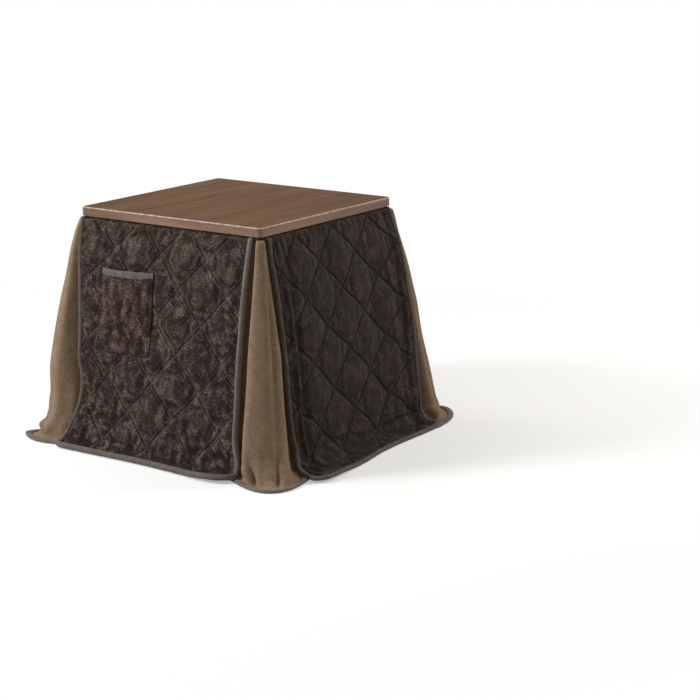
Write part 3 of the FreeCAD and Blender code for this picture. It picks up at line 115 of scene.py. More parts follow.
class PanelShape:
    """What makes one side of the skirt differ from the next, across from -1 to 1 and in millimetres."""

    def __init__(self, **features):
        # How deep its waves are and how far its hem reaches, as shares across it; the full reach
        self.wave = features["wave"]
        self.hem = features["hem"]
        self.reach = features["reach"]
        # How far the hem's left and right corner flare out, and how much thicker its hem lies
        self.flare = features["flare"]
        self.hem_rise = features["hem_rise"]
        # Which side edge wanders, and how far it hangs outside its straight line at heights
        self.running_side = features["running_side"]
        self.edge_run = features["edge_run"]
        # One crossing of stitch lines, across and down from the seam, and half a diamond both ways
        self.crossing = features["crossing"]
        self.half_step = features["half_step"]
        # How crushed its pile is and how much painted light it gets, how deep its wrinkles are and how
        # slack its cloth is
        self.crush = features["crush"]
        self.wrinkle = features["wrinkle"]
        self.slack_share = features["slack_share"]
        # Which of the soft drags it has, and how wide its cloth was cut
        self.drag_seed = features["drag_seed"]
        self.cut_width = features["cut_width"]


SHAPES = {
    "front": PanelShape(
        wave=(
            (-1.0, 0.0), (-0.93, 0.0), (-0.86, 0.5), (-0.8, 0.0), (-0.1, 0.0),
            (0.25, 0.5), (0.6, -0.3), (0.85, 0.4), (0.93, 0.0), (1.0, 0.0),
        ),
        hem=((-1.0, 0.86), (-0.5, 0.87), (0.0, 0.88), (0.5, 0.95), (0.85, 1.03), (1.0, 0.94)),
        reach=168.0,
        flare=(4.0, 38.0),
        hem_rise=4.0,
        running_side=-1,
        edge_run=(
            (0.0, 24.0), (13.0, 22.0), (45.0, 14.0), (82.0, -3.0), (120.0, -14.0), (160.0, -20.0),
            (197.0, -17.0), (234.0, -8.0), (306.0, -5.0), (386.0, 2.0), (453.0, 9.0), (520.0, 19.0),
            (606.0, 26.0),
        ),
        crossing=(66.0, 161.0),
        half_step=(76.0, 86.0),
        crush=1.0,
        wrinkle=1.5,
        slack_share=1.0,
        drag_seed=3,
        cut_width=560.0,
    ),
    "right": PanelShape(
        wave=(
            (-1.0, 0.0), (-0.93, 0.0), (-0.87, 0.9), (-0.8, -0.6), (-0.7, 0.6), (-0.3, 0.0),
            (0.2, 0.4), (0.6, 0.0), (0.8, 0.7), (0.87, -0.5), (0.93, 0.0), (1.0, 0.0),
        ),
        hem=((-1.0, 0.99), (-0.85, 1.0), (-0.6, 0.95), (-0.3, 0.9), (0.0, 0.83), (0.4, 0.79), (1.0, 0.79)),
        reach=202.0,
        flare=(56.0, 14.0),
        hem_rise=0.0,
        running_side=1,
        edge_run=(
            (0.0, 40.0), (100.0, 42.0), (280.0, 40.0), (386.0, 33.0), (453.0, 28.0), (530.0, 24.0),
            (606.0, 20.0),
        ),
        crossing=(-75.0, 94.5),
        half_step=(84.0, 84.0),
        # Painted shade: the side panels get less painted light than the front and back
        crush=0.42,
        wrinkle=0.9,
        slack_share=0.5,
        drag_seed=8,
        cut_width=580.0,
    ),
}

# A panel and its tape each stand for the same piece on the other side, mirrored along that axis
OPPOSITE = {"front": ("back", "y"), "right": ("left", "x")}

# How high the hem's flared corners lie where they lap over a corner fold
CORNER_LIFT = 6.0

# How far the right panel's back edge stands out, and its front edge curls in within that width
EDGE_STAND = 9.0
CURL_WIDTH = 17.0

# How far the left side's cloth is drawn in beside the front corner's foot, and how high that reaches
LEFT_DRAW = 60.0
LEFT_DRAW_RISE = 110.0

# Grid cells along half a diamond, so that each stitch line runs through corners of the grid
CELLS = 16

# Distance between the stitch lines of one family, and across the diamonds of the top sheet
LINE_GAP = 118.0
TOP_DIAMOND = 168.0

# How far and how widely the wadding pulls the cloth about, and which ripples do it across and down
PULL = 5.0
PULL_SIZE = 75
PULL_SEEDS = (12, 17)

# Depth and half width of the groove along a stitch line, on a panel, on its lining and on the top sheet
FACE_GROOVE = (2.2, 5.0)
LINING_GROOVE = (2.0, 9.0)
TOP_GROOVE = (2.2, 7.0)

# How far the top sheet thins at its rim, and its points each way
TOP_RIM = 2.0
TOP_POINTS = 85

PUFF_FRAMES = 18

# How far inside a panel's edge its tape's direction is taken, and how far the edge lies in the tape
TAPE_BITE = 14.0
TAPE_SEAT = 5.0

# How far the tape rolls back towards the corner fold
TAPE_ROLL = 3.4

# Half the thickness of the tape at the pocket's mouth, and how light the tape is drawn
MOUTH_HALF = 2.9
MOUTH_TONE = 0.46

# Angles past which an edge stays crisp, in degrees
CLOTH_CREASE = 70.0
TAPE_CREASE = 60.0

# A corner runs out along the diagonal between two sides
DIAGONAL = math.sqrt(2)

# The seam of a corner fold: the difference and the sum of its places along both sides, before it leans out
SEAM_ACROSS = 19.0
SEAM_OUT = 563.0

# The cloth behind that seam ends so much further across, and so far behind it
TAB_ACROSS = 40.0
TAB_BEHIND = 23.0

# Columns round a corner fold and rows down it, and the lowest that its outer face may lie
FOLD_COLUMNS = 61
FOLD_LEVELS = 120
FOLD_FLOOR = 3.4

# Which ripples crumple each corner fold
FOLD_SEEDS = {
    ("front", "right"): 1,
    ("front", "left"): 3,
    ("back", "right"): 4,
    ("back", "left"): 6,
}

# Height, and half the width of a corner fold there
FOLD_ROWS = (
    (600.0, 11.0),
    (536.5, 17.0),
    (463.4, 25.0),
    (353.6, 38.0),
    (274.4, 45.0),
    (195.1, 50.0),
    (121.9, 56.0),
    (67.1, 60.0),
)

# Heights at which a fold's foot spreads, and how far towards its hem it has spread there
FOOT_ROWS = ((32.0, 0.22), (13.0, 0.46), (6.0, 0.72))
HEM_HEIGHT = 3.6

# How far the crown of each corner fold stands past the board at the heights of the fold's rows
FOLD_CROWNS = {
    ("front", "right"): (3, 12, 24, 43, 59, 74, 87, 97),
    ("front", "left"): (3, 19, 30, 48, 59, 67, 68, 77),
    ("back", "right"): (4, 16, 32, 51, 61, 73, 84, 93),
    ("back", "left"): (4, 14, 29, 48, 60, 72, 83, 92),
}

# Creases of each corner fold: place round it, half width, depth, and the heights it fades in between
FOLD_CREASES = {
    ("front", "right"): (
        (0.565, 0.018, 6.0, 640, 320),
        (0.405, 0.026, 22.0, 80, 20),
        (0.595, 0.018, -11.0, 105, 30),
        (0.470, 0.012, 4.0, 60, 10),
        (0.530, 0.016, -5.0, 60, 10),
    ),
    ("front", "left"): (
        (0.300, 0.060, 5.0, 230, 60),
        (0.420, 0.020, 4.0, 200, 60),
    ),
    ("back", "right"): (
        (0.730, 0.060, 17.0, 600, 420),
        (0.575, 0.016, 5.0, 600, 120),
        (0.420, 0.022, 10.0, 90, 20),
    ),
    ("back", "left"): (
        (0.430, 0.018, 5.0, 600, 120),
        (0.600, 0.024, 12.0, 90, 20),
        (0.310, 0.035, 9.0, 560, 200),
    ),
}

# How much narrower a back fold is on the side where the side panel laps over it
BACK_TUCK = 15.0

# Round the left front fold, where it slumps over its own foot: begins, full from, full to and ends
SLUMP = (0.30, 0.38, 0.46, 0.54)

# Where each corner fold's hem lies, across and out along the corner's diagonal
FOLD_HEMS = {
    ("front", "right"): (
        (-118, 486), (-92, 500), (-76, 545), (-57, 593), (-32, 622), (0, 630),
        (38, 612), (74, 568), (101, 522), (122, 494),
    ),
    ("front", "left"): (
        (-112, 484), (-84, 500), (-59, 535), (-34, 561), (10, 577), (52, 577),
        (86, 563), (98, 540), (106, 512), (120, 492),
    ),
    ("back", "right"): (
        (-118, 486), (-98, 520), (-94, 586), (-76, 600), (-34, 602), (16, 590),
        (66, 561), (106, 528), (116, 505), (126, 490),
    ),
    ("back", "left"): (
        (-116, 486), (-92, 506), (-80, 550), (-52, 586), (-14, 600), (26, 594),
        (64, 566), (94, 530), (110, 506), (122, 490),
    ),
}

# The pocket on the front panel: left, right, bottom and top, and the radius of its lower corners
POCKET = (-200.0, -28.0, 268.0, 480.0)
POCKET_ROUND = 20.0

# How far the slack pocket hangs to the right of that at its mouth
POCKET_SHIFT = 4.0

# How bright the lit floor looks to the camera, so that it comes out white
FLOOR_GAIN = 1.5

# How much of the white sky's light falls on the table
SKY_SHARE = 0.23

# Lamps: name, place in metres, power in watts, size in metres and colour
LAMPS = (
    ("key", (-2.3, -2.8, 2.5), 98.0, 1.2, "#FFFFFF"),
    ("side", (2.5, 2.6, 2.9), 62.0, 0.6, "#FFF7EC"),
    ("top", (-1.5, -0.5, 3.0), 13.0, 1.0, "#FFFFFF"),
)
LAMP_AIM = (0.0, 0.0, 0.3)

# The camera: degrees round the table and above it, and metres back, right and up from the board's middle
CAMERA_TURN = 34.39
CAMERA_TILT = 13.33
CAMERA_MIDDLE = (0.0, 0.0, 0.635)
CAMERA_PLACE = (5.970, 0.3044, -0.4030)

# In a picture 700 pixels wide its lens draws a metre, seen from a metre away, 2200 pixels wide
CAMERA_SENSOR = 36.0
CAMERA_LENS = 2200 / 700 * CAMERA_SENSOR


# Plain sums that several pieces share


def mm(length):
    """A length of the panel's property sheet, in millimetres."""
    return length / MM


def smooth(share):
    """0 to 1, leaving and arriving gently."""
    share = min(1.0, max(0.0, share))
    return share * share * (3 - 2 * share)


def fade(value, start, full):
    """0 at start and before it, 1 at full and past it, whichever of the two is larger."""
    return smooth((value - start) / (full - start))


def folds(place, spacing, start=0.0):
    """A run of equal folds, that far apart, from -1 to 1."""
    return math.sin(math.tau * (place - start) / spacing)


def dent(distance, depth, width):
    """The depth of a soft dent of that half width, at a distance from its middle."""
    return depth * math.exp(-((distance / width) ** 2))


def round_corner(from_side, from_foot, radius):
    """Draws a place near a sheet's square corner in to a round one."""
    if from_side < radius and from_foot < radius:
        reach_side = 1.0 - from_side / radius
        reach_foot = 1.0 - from_foot / radius
        from_side = radius * (1.0 - reach_side * math.sqrt(1.0 - reach_foot ** 2 / 2))
        from_foot = radius * (1.0 - reach_foot * math.sqrt(1.0 - reach_side ** 2 / 2))
    return from_side, from_foot


def from_stitch(first, second):
    """How far a place, given in stitch gaps both ways, lies from the nearest stitch line."""
    return LINE_GAP * min(abs(first - round(first)), abs(second - round(second)))


def spline_value(knots, place):
    """The value at a place of a smooth curve through (place, value) knots."""
    if place <= knots[0][0]:
        return knots[0][1]
    if place >= knots[-1][0]:
        return knots[-1][1]
    start = 0
    while place > knots[start + 1][0]:
        start += 1

    def slope(index):
        before = max(index - 1, 0)
        after = min(index + 1, len(knots) - 1)
        return (knots[after][1] - knots[before][1]) / (knots[after][0] - knots[before][0])

    span = knots[start + 1][0] - knots[start][0]
    share = (place - knots[start][0]) / span
    rise = knots[start + 1][1] - knots[start][1]
    left = slope(start) * span
    right = slope(start + 1) * span
    return (
        knots[start][1]
        + left * share
        + (3 * rise - 2 * left - right) * share ** 2
        + (left + right - 2 * rise) * share ** 3
    )


def smooth_run(points, samples=10):
    """A dense smooth line through points, with how far along it each of its own points lies."""
    points = [Vector(point) for point in points]
    distances = [0.0]
    for before, after in zip(points, points[1:]):
        distances.append(distances[-1] + (after - before).length)
    slopes = []
    for index in range(len(points)):
        before = max(index - 1, 0)
        after = min(index + 1, len(points) - 1)
        slopes.append((points[after] - points[before]) / (distances[after] - distances[before]))
    line = [points[0]]
    for index in range(len(points) - 1):
        span = distances[index + 1] - distances[index]
        left = slopes[index] * span
        right = slopes[index + 1] * span
        rise = points[index + 1] - points[index]
        for step in range(1, samples + 1):
            share = step / samples
            line.append(
                points[index]
                + left * share
                + (3 * rise - 2 * left - right) * share ** 2
                + (left + right - 2 * rise) * share ** 3
            )
    lengths = [0.0]
    for before, after in zip(line, line[1:]):
        lengths.append(lengths[-1] + (after - before).length)
    return line, lengths


def along(run, distance):
    """The point that far along a run."""
    line, lengths = run
    distance = min(max(distance, 0.0), lengths[-1])
    low, high = 0, len(lengths) - 1
    while high - low > 1:
        middle = (low + high) // 2
        if lengths[middle] <= distance:
            low = middle
        else:
            high = middle
    span = lengths[high] - lengths[low]
    share = (distance - lengths[low]) / span if span else 0.0
    return line[low].lerp(line[high], share)


def ripple(point, size, seed):
    """Soft unevenness from -1 to 1 with lumps about that many millimetres wide."""
    return noise.noise(Vector(point) / size + Vector((seed, 0.37 * seed, 0.11 * seed)))


# The hang of the skirt


@functools.lru_cache(maxsize=None)
def column(side, across):
    """One plumb line of a panel's outer face, from the seam to the hem, as (distance out, height)."""
    shape = SHAPES[side]
    share = across / HALF_PANEL
    fold = FOLD_DEPTH * spline_value(shape.wave, share)
    hem = HALF_BOARD + shape.reach * spline_value(shape.hem, share)
    points = [(HALF_BOARD - 2.0, SEAM_HEIGHT + 2.6), (HALF_BOARD + 3.6, SEAM_HEIGHT)]
    for number, (height, reach) in enumerate(FALL):
        if number == 0:
            points.append((HALF_BOARD + reach + 0.8, height - 8.0))
        else:
            points.append((HALF_BOARD + reach + fold * min(1, number / FULL_WAVE_ROW), height))
    knee = points[-1][0]
    points.append((knee + 0.3 * KNEE_RUN, FLOOR_FACE + 0.4 * (KNEE_HEIGHT - FLOOR_FACE)))
    # A hem that reaches far enough lies down before its end
    if hem - knee > KNEE_RUN + 10:
        points.append((knee + KNEE_RUN - 4, FLOOR_FACE + 2.0))
    points.append((hem, FLOOR_FACE))
    return smooth_run([(out, height, 0.0) for out, height in points])


def column_length(side, across):
    """How long the cloth is down that plumb line."""
    return column(side, round(across, 1))[1][-1]


def cloth_point(side, across, down, corner):
    """(across, out, up) of a panel's outer face; down runs from 0 at the seam to 1 at the hem."""
    shape = SHAPES[side]
    length = column_length(side, across)
    from_side, from_hem = round_corner(HALF_PANEL - abs(across), (1.0 - down) * length, corner)
    place = math.copysign(HALF_PANEL - from_side, across)
    run = column(side, round(place, 1))
    out, height = along(run, run[1][-1] - from_hem).xy
    share = place / HALF_PANEL
    flare = shape.flare[1] if share > 0 else -shape.flare[0]
    sweep = flare * abs(share) ** 4 * fade(from_hem, 150.0, 0.0)
    lift = CORNER_LIFT * fade(abs(sweep), 0.0, 22.0) * fade(height, 60.0, 20.0)
    lift += shape.hem_rise * fade(from_hem, 45.0, 0.0)
    # One side edge of each panel wanders: it laps over the corner fold or hangs back from it
    if share * shape.running_side > 0:
        sweep += shape.running_side * spline_value(shape.edge_run, height) * abs(share) ** 5
    if side == "right":
        # Its back edge stands out, and the edge beside the front corner curls in behind its fold
        stands = fade(place, 205.0, 265.0) * fade(height, 40.0, 100.0) * fade(height, 600.0, 510.0)
        out += EDGE_STAND * stands
        curl = max(0.0, 1.0 - (HALF_PANEL + place) / CURL_WIDTH) ** 1.5
        out -= EDGE_STAND * curl * fade(height, 30.0, 90.0) * fade(height, 600.0, 540.0)
    return Vector((place + sweep, out, height + lift))


def front_folds(across, from_hem):
    """Folds of the front panel: it slumps at its left foot and hangs slack down its right edge."""
    from_right = HALF_PANEL - across
    slump = fade(abs(across + 150.0), 110.0, 0.0) * fade(abs(from_hem - 36.0), 34.0, 0.0)
    slack = fade(from_right, 60.0, 0.0) * fade(from_hem, 260.0, 0.0)
    return 3.0 * slump * folds(from_hem, 15.0) + 1.6 * slack * folds(from_right, 26.0)


def right_folds(across, fall, from_hem):
    """Folds of the right panel, gathered at its seam and lying in nested folds at its front foot."""
    from_left = HALF_PANEL + across
    from_right = HALF_PANEL - across
    near = (max(from_left, 1.0) ** -4 + max(from_hem, 1.0) ** -4) ** -0.25
    height = 6.5 * fade(from_left, 120.0, 0.0) * fade(from_hem, 190.0, 0.0) * folds(near, 24.0, 12.0)
    # Fine gathers run down from the seam, closest together at the front corner
    gather = fade(from_left, 150.0, 0.0) * fade(fall, 300.0, 0.0)
    height += 2.2 * gather * folds(from_left, 26.0, 0.16 * fall)
    slack = 0.6 + 0.4 * ripple((across, 0, 0), 60, 4)
    height += 1.7 * slack * fade(fall, 170.0, 0.0) * folds(across, 27.0)
    # Soft folds lie along both side edges, and a crease where the hem was folded up
    height += 1.8 * fade(from_left, 56.0, 0.0) * folds(from_left, 26.0, 3.0)
    height += 3.2 * fade(from_right, 62.0, 0.0) * folds(from_right, 25.0, 5.0)
    return height - fade(across, 20.0, 60.0) * dent(from_hem - 78.0, 3.0, 6.0)


def cloth_relief(side, across, down, length):
    """How far drag folds, creases and slack lift a panel's outer face, in millimetres."""
    shape = SHAPES[side]
    fall = down * length
    from_hem = (1.0 - down) * length
    # Soft drags, shallow dents, and the nap's wrinkles, which run down the cloth about 20 mm apart
    height = 1.6 * ripple((across, fall, 0), 110, shape.drag_seed)
    height += 0.8 * ripple((across * 1.6, fall * 0.6, 0), 34, 5)
    height += shape.wrinkle * ripple((across * 2.0 + 0.25 * fall, fall * 0.5, 0), 40, 6)
    if side == "right":
        return height + right_folds(across, fall, from_hem)
    return height + front_folds(across, from_hem)


def turned(side, point):
    """A panel's (across, out, up) as a place in the row frame."""
    across, out, up = point
    if side == "front":
        return Vector((across, -out, up))
    return Vector((out, across, up))


# Meshes and pieces


def deselect():
    """Nothing stays selected, so the next operator acts on its own piece alone."""
    for thing in bpy.context.view_layer.objects:
        thing.select_set(False)


def activate(piece):
    """That piece alone is selected and active."""
    deselect()
    piece.select_set(True)
    bpy.context.view_layer.objects.active = piece


def new_piece(name, points, faces):
    """A mesh piece from points in millimetres."""
    mesh = bpy.data.meshes.new(name)
    mesh.from_pydata([tuple(Vector(point) * MM) for point in points], [], faces)
    mesh.update()
    piece = bpy.data.objects.new(name, mesh)
    bpy.context.scene.collection.objects.link(piece)
    return piece


def face_outwards(piece):
    """A closed piece's faces point out of it."""
    shape = bmesh.new()
    shape.from_mesh(piece.data)
    bmesh.ops.recalc_face_normals(shape, faces=shape.faces)
    shape.to_mesh(piece.data)
    shape.free()


def turn_faces(piece, face, outward):
    """The faces of an open sheet all point the way that one of them is to point."""
    if piece.data.polygons[face].normal.dot(outward) < 0:
        piece.data.flip_normals()


def thicken(piece, thickness):
    """A sheet gets its thickness inwards, behind its outer face."""
    wall = piece.modifiers.new("sheet", "SOLIDIFY")
    wall.thickness = thickness
    wall.offset = -1.0
    apply_modifier(piece, wall)


def shade(piece, angle):
    """Smooth shading, with edges sharper than the angle left crisp."""
    activate(piece)
    bpy.ops.object.shade_smooth_by_angle(angle=math.radians(angle))


def write_map(piece, name, places):
    """A UV map from one (u, v) a vertex, so that a pattern follows the cloth."""
    layer = piece.data.uv_layers.new(name=name)
    for loop in piece.data.loops:
        layer.data[loop.index].uv = places[loop.vertex_index]


def write_value(piece, name, values):
    """A value a vertex that the material reads."""
    layer = piece.data.attributes.new(name, "FLOAT", "POINT")
    layer.data.foreach_set("value", values)


def apply_modifier(piece, modifier):
    """The modifier becomes part of the mesh."""
    activate(piece)
    bpy.ops.object.modifier_apply(modifier=modifier.name)


def grid_faces(rows, columns, start=0, turned_over=False):
    """Quads between rows of points that lie one after the other."""
    faces = []
    for row in range(rows - 1):
        for place in range(columns - 1):
            first = start + row * columns + place
            face = (first, first + 1, first + columns + 1, first + columns)
            faces.append(face[::-1] if turned_over else face)
    return faces


def rim_faces(rows, columns, second):
    """Quads that close the edge between two equal grids, the second of which starts at that number."""
    edge = list(range(columns))
    edge += [row * columns + columns - 1 for row in range(1, rows)]
    edge += [(rows - 1) * columns + place for place in range(columns - 2, -1, -1)]
    edge += [row * columns for row in range(rows - 2, 0, -1)]
    faces = []
    for here, there in zip(edge, edge[1:] + edge[:1]):
        faces.append((here, there, second + there, second + here))
    return faces


def grid_normals(points, rows, columns, outward):
    """Unit normals of a grid of points, from its neighbours; its middle one faces outward."""
    normals = []
    for row in range(rows):
        for place in range(columns):
            left = points[row * columns + max(place - 1, 0)]
            right = points[row * columns + min(place + 1, columns - 1)]
            above = points[max(row - 1, 0) * columns + place]
            below = points[min(row + 1, rows - 1) * columns + place]
            normals.append((right - left).cross(below - above).normalized())
    if normals[rows // 2 * columns + columns // 2].dot(outward) < 0:
        normals = [-normal for normal in normals]
    return normals


def ridge_shares(points, normals, rows, columns, cells, stand):
    """How far points stand out of the cloth some cells around them: -1 in a fold, 1 on a ridge."""
    shares = []
    for row in range(rows):
        above = max(row - cells, 0)
        below = min(row + cells, rows - 1)
        for place in range(columns):
            left = points[row * columns + max(place - cells, 0)]
            right = points[row * columns + min(place + cells, columns - 1)]
            ends = left + right + points[above * columns + place] + points[below * columns + place]
            index = row * columns + place
            rise = (points[index] - ends / 4).dot(normals[index])
            shares.append(max(-1.0, min(1.0, rise / stand)))
    return shares


def sheet_area(points, rows, columns):
    """The area of a grid of points in square metres."""
    total = 0.0
    for row in range(rows - 1):
        for place in range(columns - 1):
            first = points[row * columns + place]
            across = points[row * columns + place + 1] - first
            down = points[(row + 1) * columns + place] - first
            total += across.cross(down).length
    return total * MM * MM


def two_sided(name, outer, inner, rows, columns, cloth, gaps):
    """A closed sheet from its outer and its inner face, with the places that its material reads."""
    count = rows * columns
    quads = grid_faces(rows, columns)
    quads += grid_faces(rows, columns, start=count, turned_over=True)
    quads += rim_faces(rows, columns, count)
    piece = new_piece(name, outer + inner, quads)
    face_outwards(piece)
    write_map(piece, "cloth", cloth * 2)
    write_map(piece, "stitch", gaps * 2)
    shade(piece, CLOTH_CREASE)
    return piece


def swept(name, path, inward, half_width, half_heights, tape_tones, uneven, power):
    """A tape swept along a path, its section rounder the nearer its power is to 2.

    Inward holds the way into the cloth, the tones how light the tape is drawn along it, painted light and
    shade on the panels' tapes, and uneven how much the tape swells.
    """
    # Corners of the section
    ring = 16
    points = []
    places = []
    travelled = 0.0
    for index, here in enumerate(path):
        before = path[max(index - 1, 0)]
        after = path[min(index + 1, len(path) - 1)]
        half_height = half_heights[index]
        tangent = (after - before).normalized()
        across = (inward[index] - tangent * inward[index].dot(tangent)).normalized()
        outward = across.cross(tangent).normalized()
        if index:
            travelled += (here - path[index - 1]).length
        swell = 1.0 + uneven * ripple(here, 16, 2) + 0.5 * uneven * ripple(here, 6, 7)
        for number in range(ring):
            angle = math.tau * number / ring
            wide = math.copysign(abs(math.cos(angle)) ** (2 / power), math.cos(angle))
            high = math.copysign(abs(math.sin(angle)) ** (2 / power), math.sin(angle))
            points.append(here + across * wide * half_width * swell + outward * high * half_height * swell)
            places.append((travelled * MM, number / ring))
    faces = []
    rings = len(path)
    for index in range(rings - 1):
        following = index + 1
        for number in range(ring):
            beside = (number + 1) % ring
            faces.append((
                index * ring + number,
                index * ring + beside,
                following * ring + beside,
                following * ring + number,
            ))
    faces.append(tuple(range(ring)))
    faces.append(tuple((rings - 1) * ring + number for number in range(ring)))
    piece = new_piece(name, points, faces)
    face_outwards(piece)
    write_map(piece, "cloth", places)
    write_value(piece, "crush", [nap for nap in tape_tones for number in range(ring)])
    shade(piece, TAPE_CREASE)
    return piece


def mirrored_copy(piece, name, axis):
    """A copy on the other side of the table, with its own mesh, facing outwards."""
    copy = piece.copy()
    copy.data = piece.data.copy()
    copy.name = name
    copy.data.name = name
    bpy.context.scene.collection.objects.link(copy)
    turn = Matrix.Scale(-1, 4, Vector((1, 0, 0)) if axis == "x" else Vector((0, 1, 0)))
    copy.data.transform(turn)
    copy.data.flip_normals()
    return copy


def dress(piece, finish, body, slot, *nodes):
    """The piece gets its finish, rides on its body and stands for its CAD nodes."""
    piece.data.materials.clear()
    piece.data.materials.append(finish)
    if body:
        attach(piece, body)
    if nodes:
        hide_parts(*nodes)


# Materials


def colour(code):
    """An sRGB hex colour as the linear values that a shader takes."""
    parts = [int(code[place:place + 2], 16) / 255 for place in (1, 3, 5)]
    linear = [part / 12.92 if part <= 0.04045 else ((part + 0.055) / 1.055) ** 2.4 for part in parts]
    return (*linear, 1.0)


def feed(tree, node, inputs):
    """Each of those inputs of a node gets a value, or a link from another node's output."""
    for socket, value in inputs.items():
        if isinstance(value, bpy.types.NodeSocket):
            tree.links.new(value, node.inputs[socket])
        else:
            node.inputs[socket].default_value = value


def add_node(tree, kind, inputs=None, **settings):
    """Adds a node with its settings, its values and its links."""
    node = tree.nodes.new(kind)
    for name, value in settings.items():
        setattr(node, name, value)
    feed(tree, node, inputs or {})
    return node


def blank_finish(name):
    """An empty material with its shader and output."""
    finish = bpy.data.materials.new(name)
    finish.use_nodes = True
    tree = finish.node_tree
    tree.nodes.clear()
    shader = add_node(tree, "ShaderNodeBsdfPrincipled")
    add_node(tree, "ShaderNodeOutputMaterial", {"Surface": shader.outputs[0]})
    return finish, tree, shader


def tint(name):
    """A colour of the colours' property sheet."""
    return tuple(getattr(bpy.context.scene.kotatsu_colours, name))


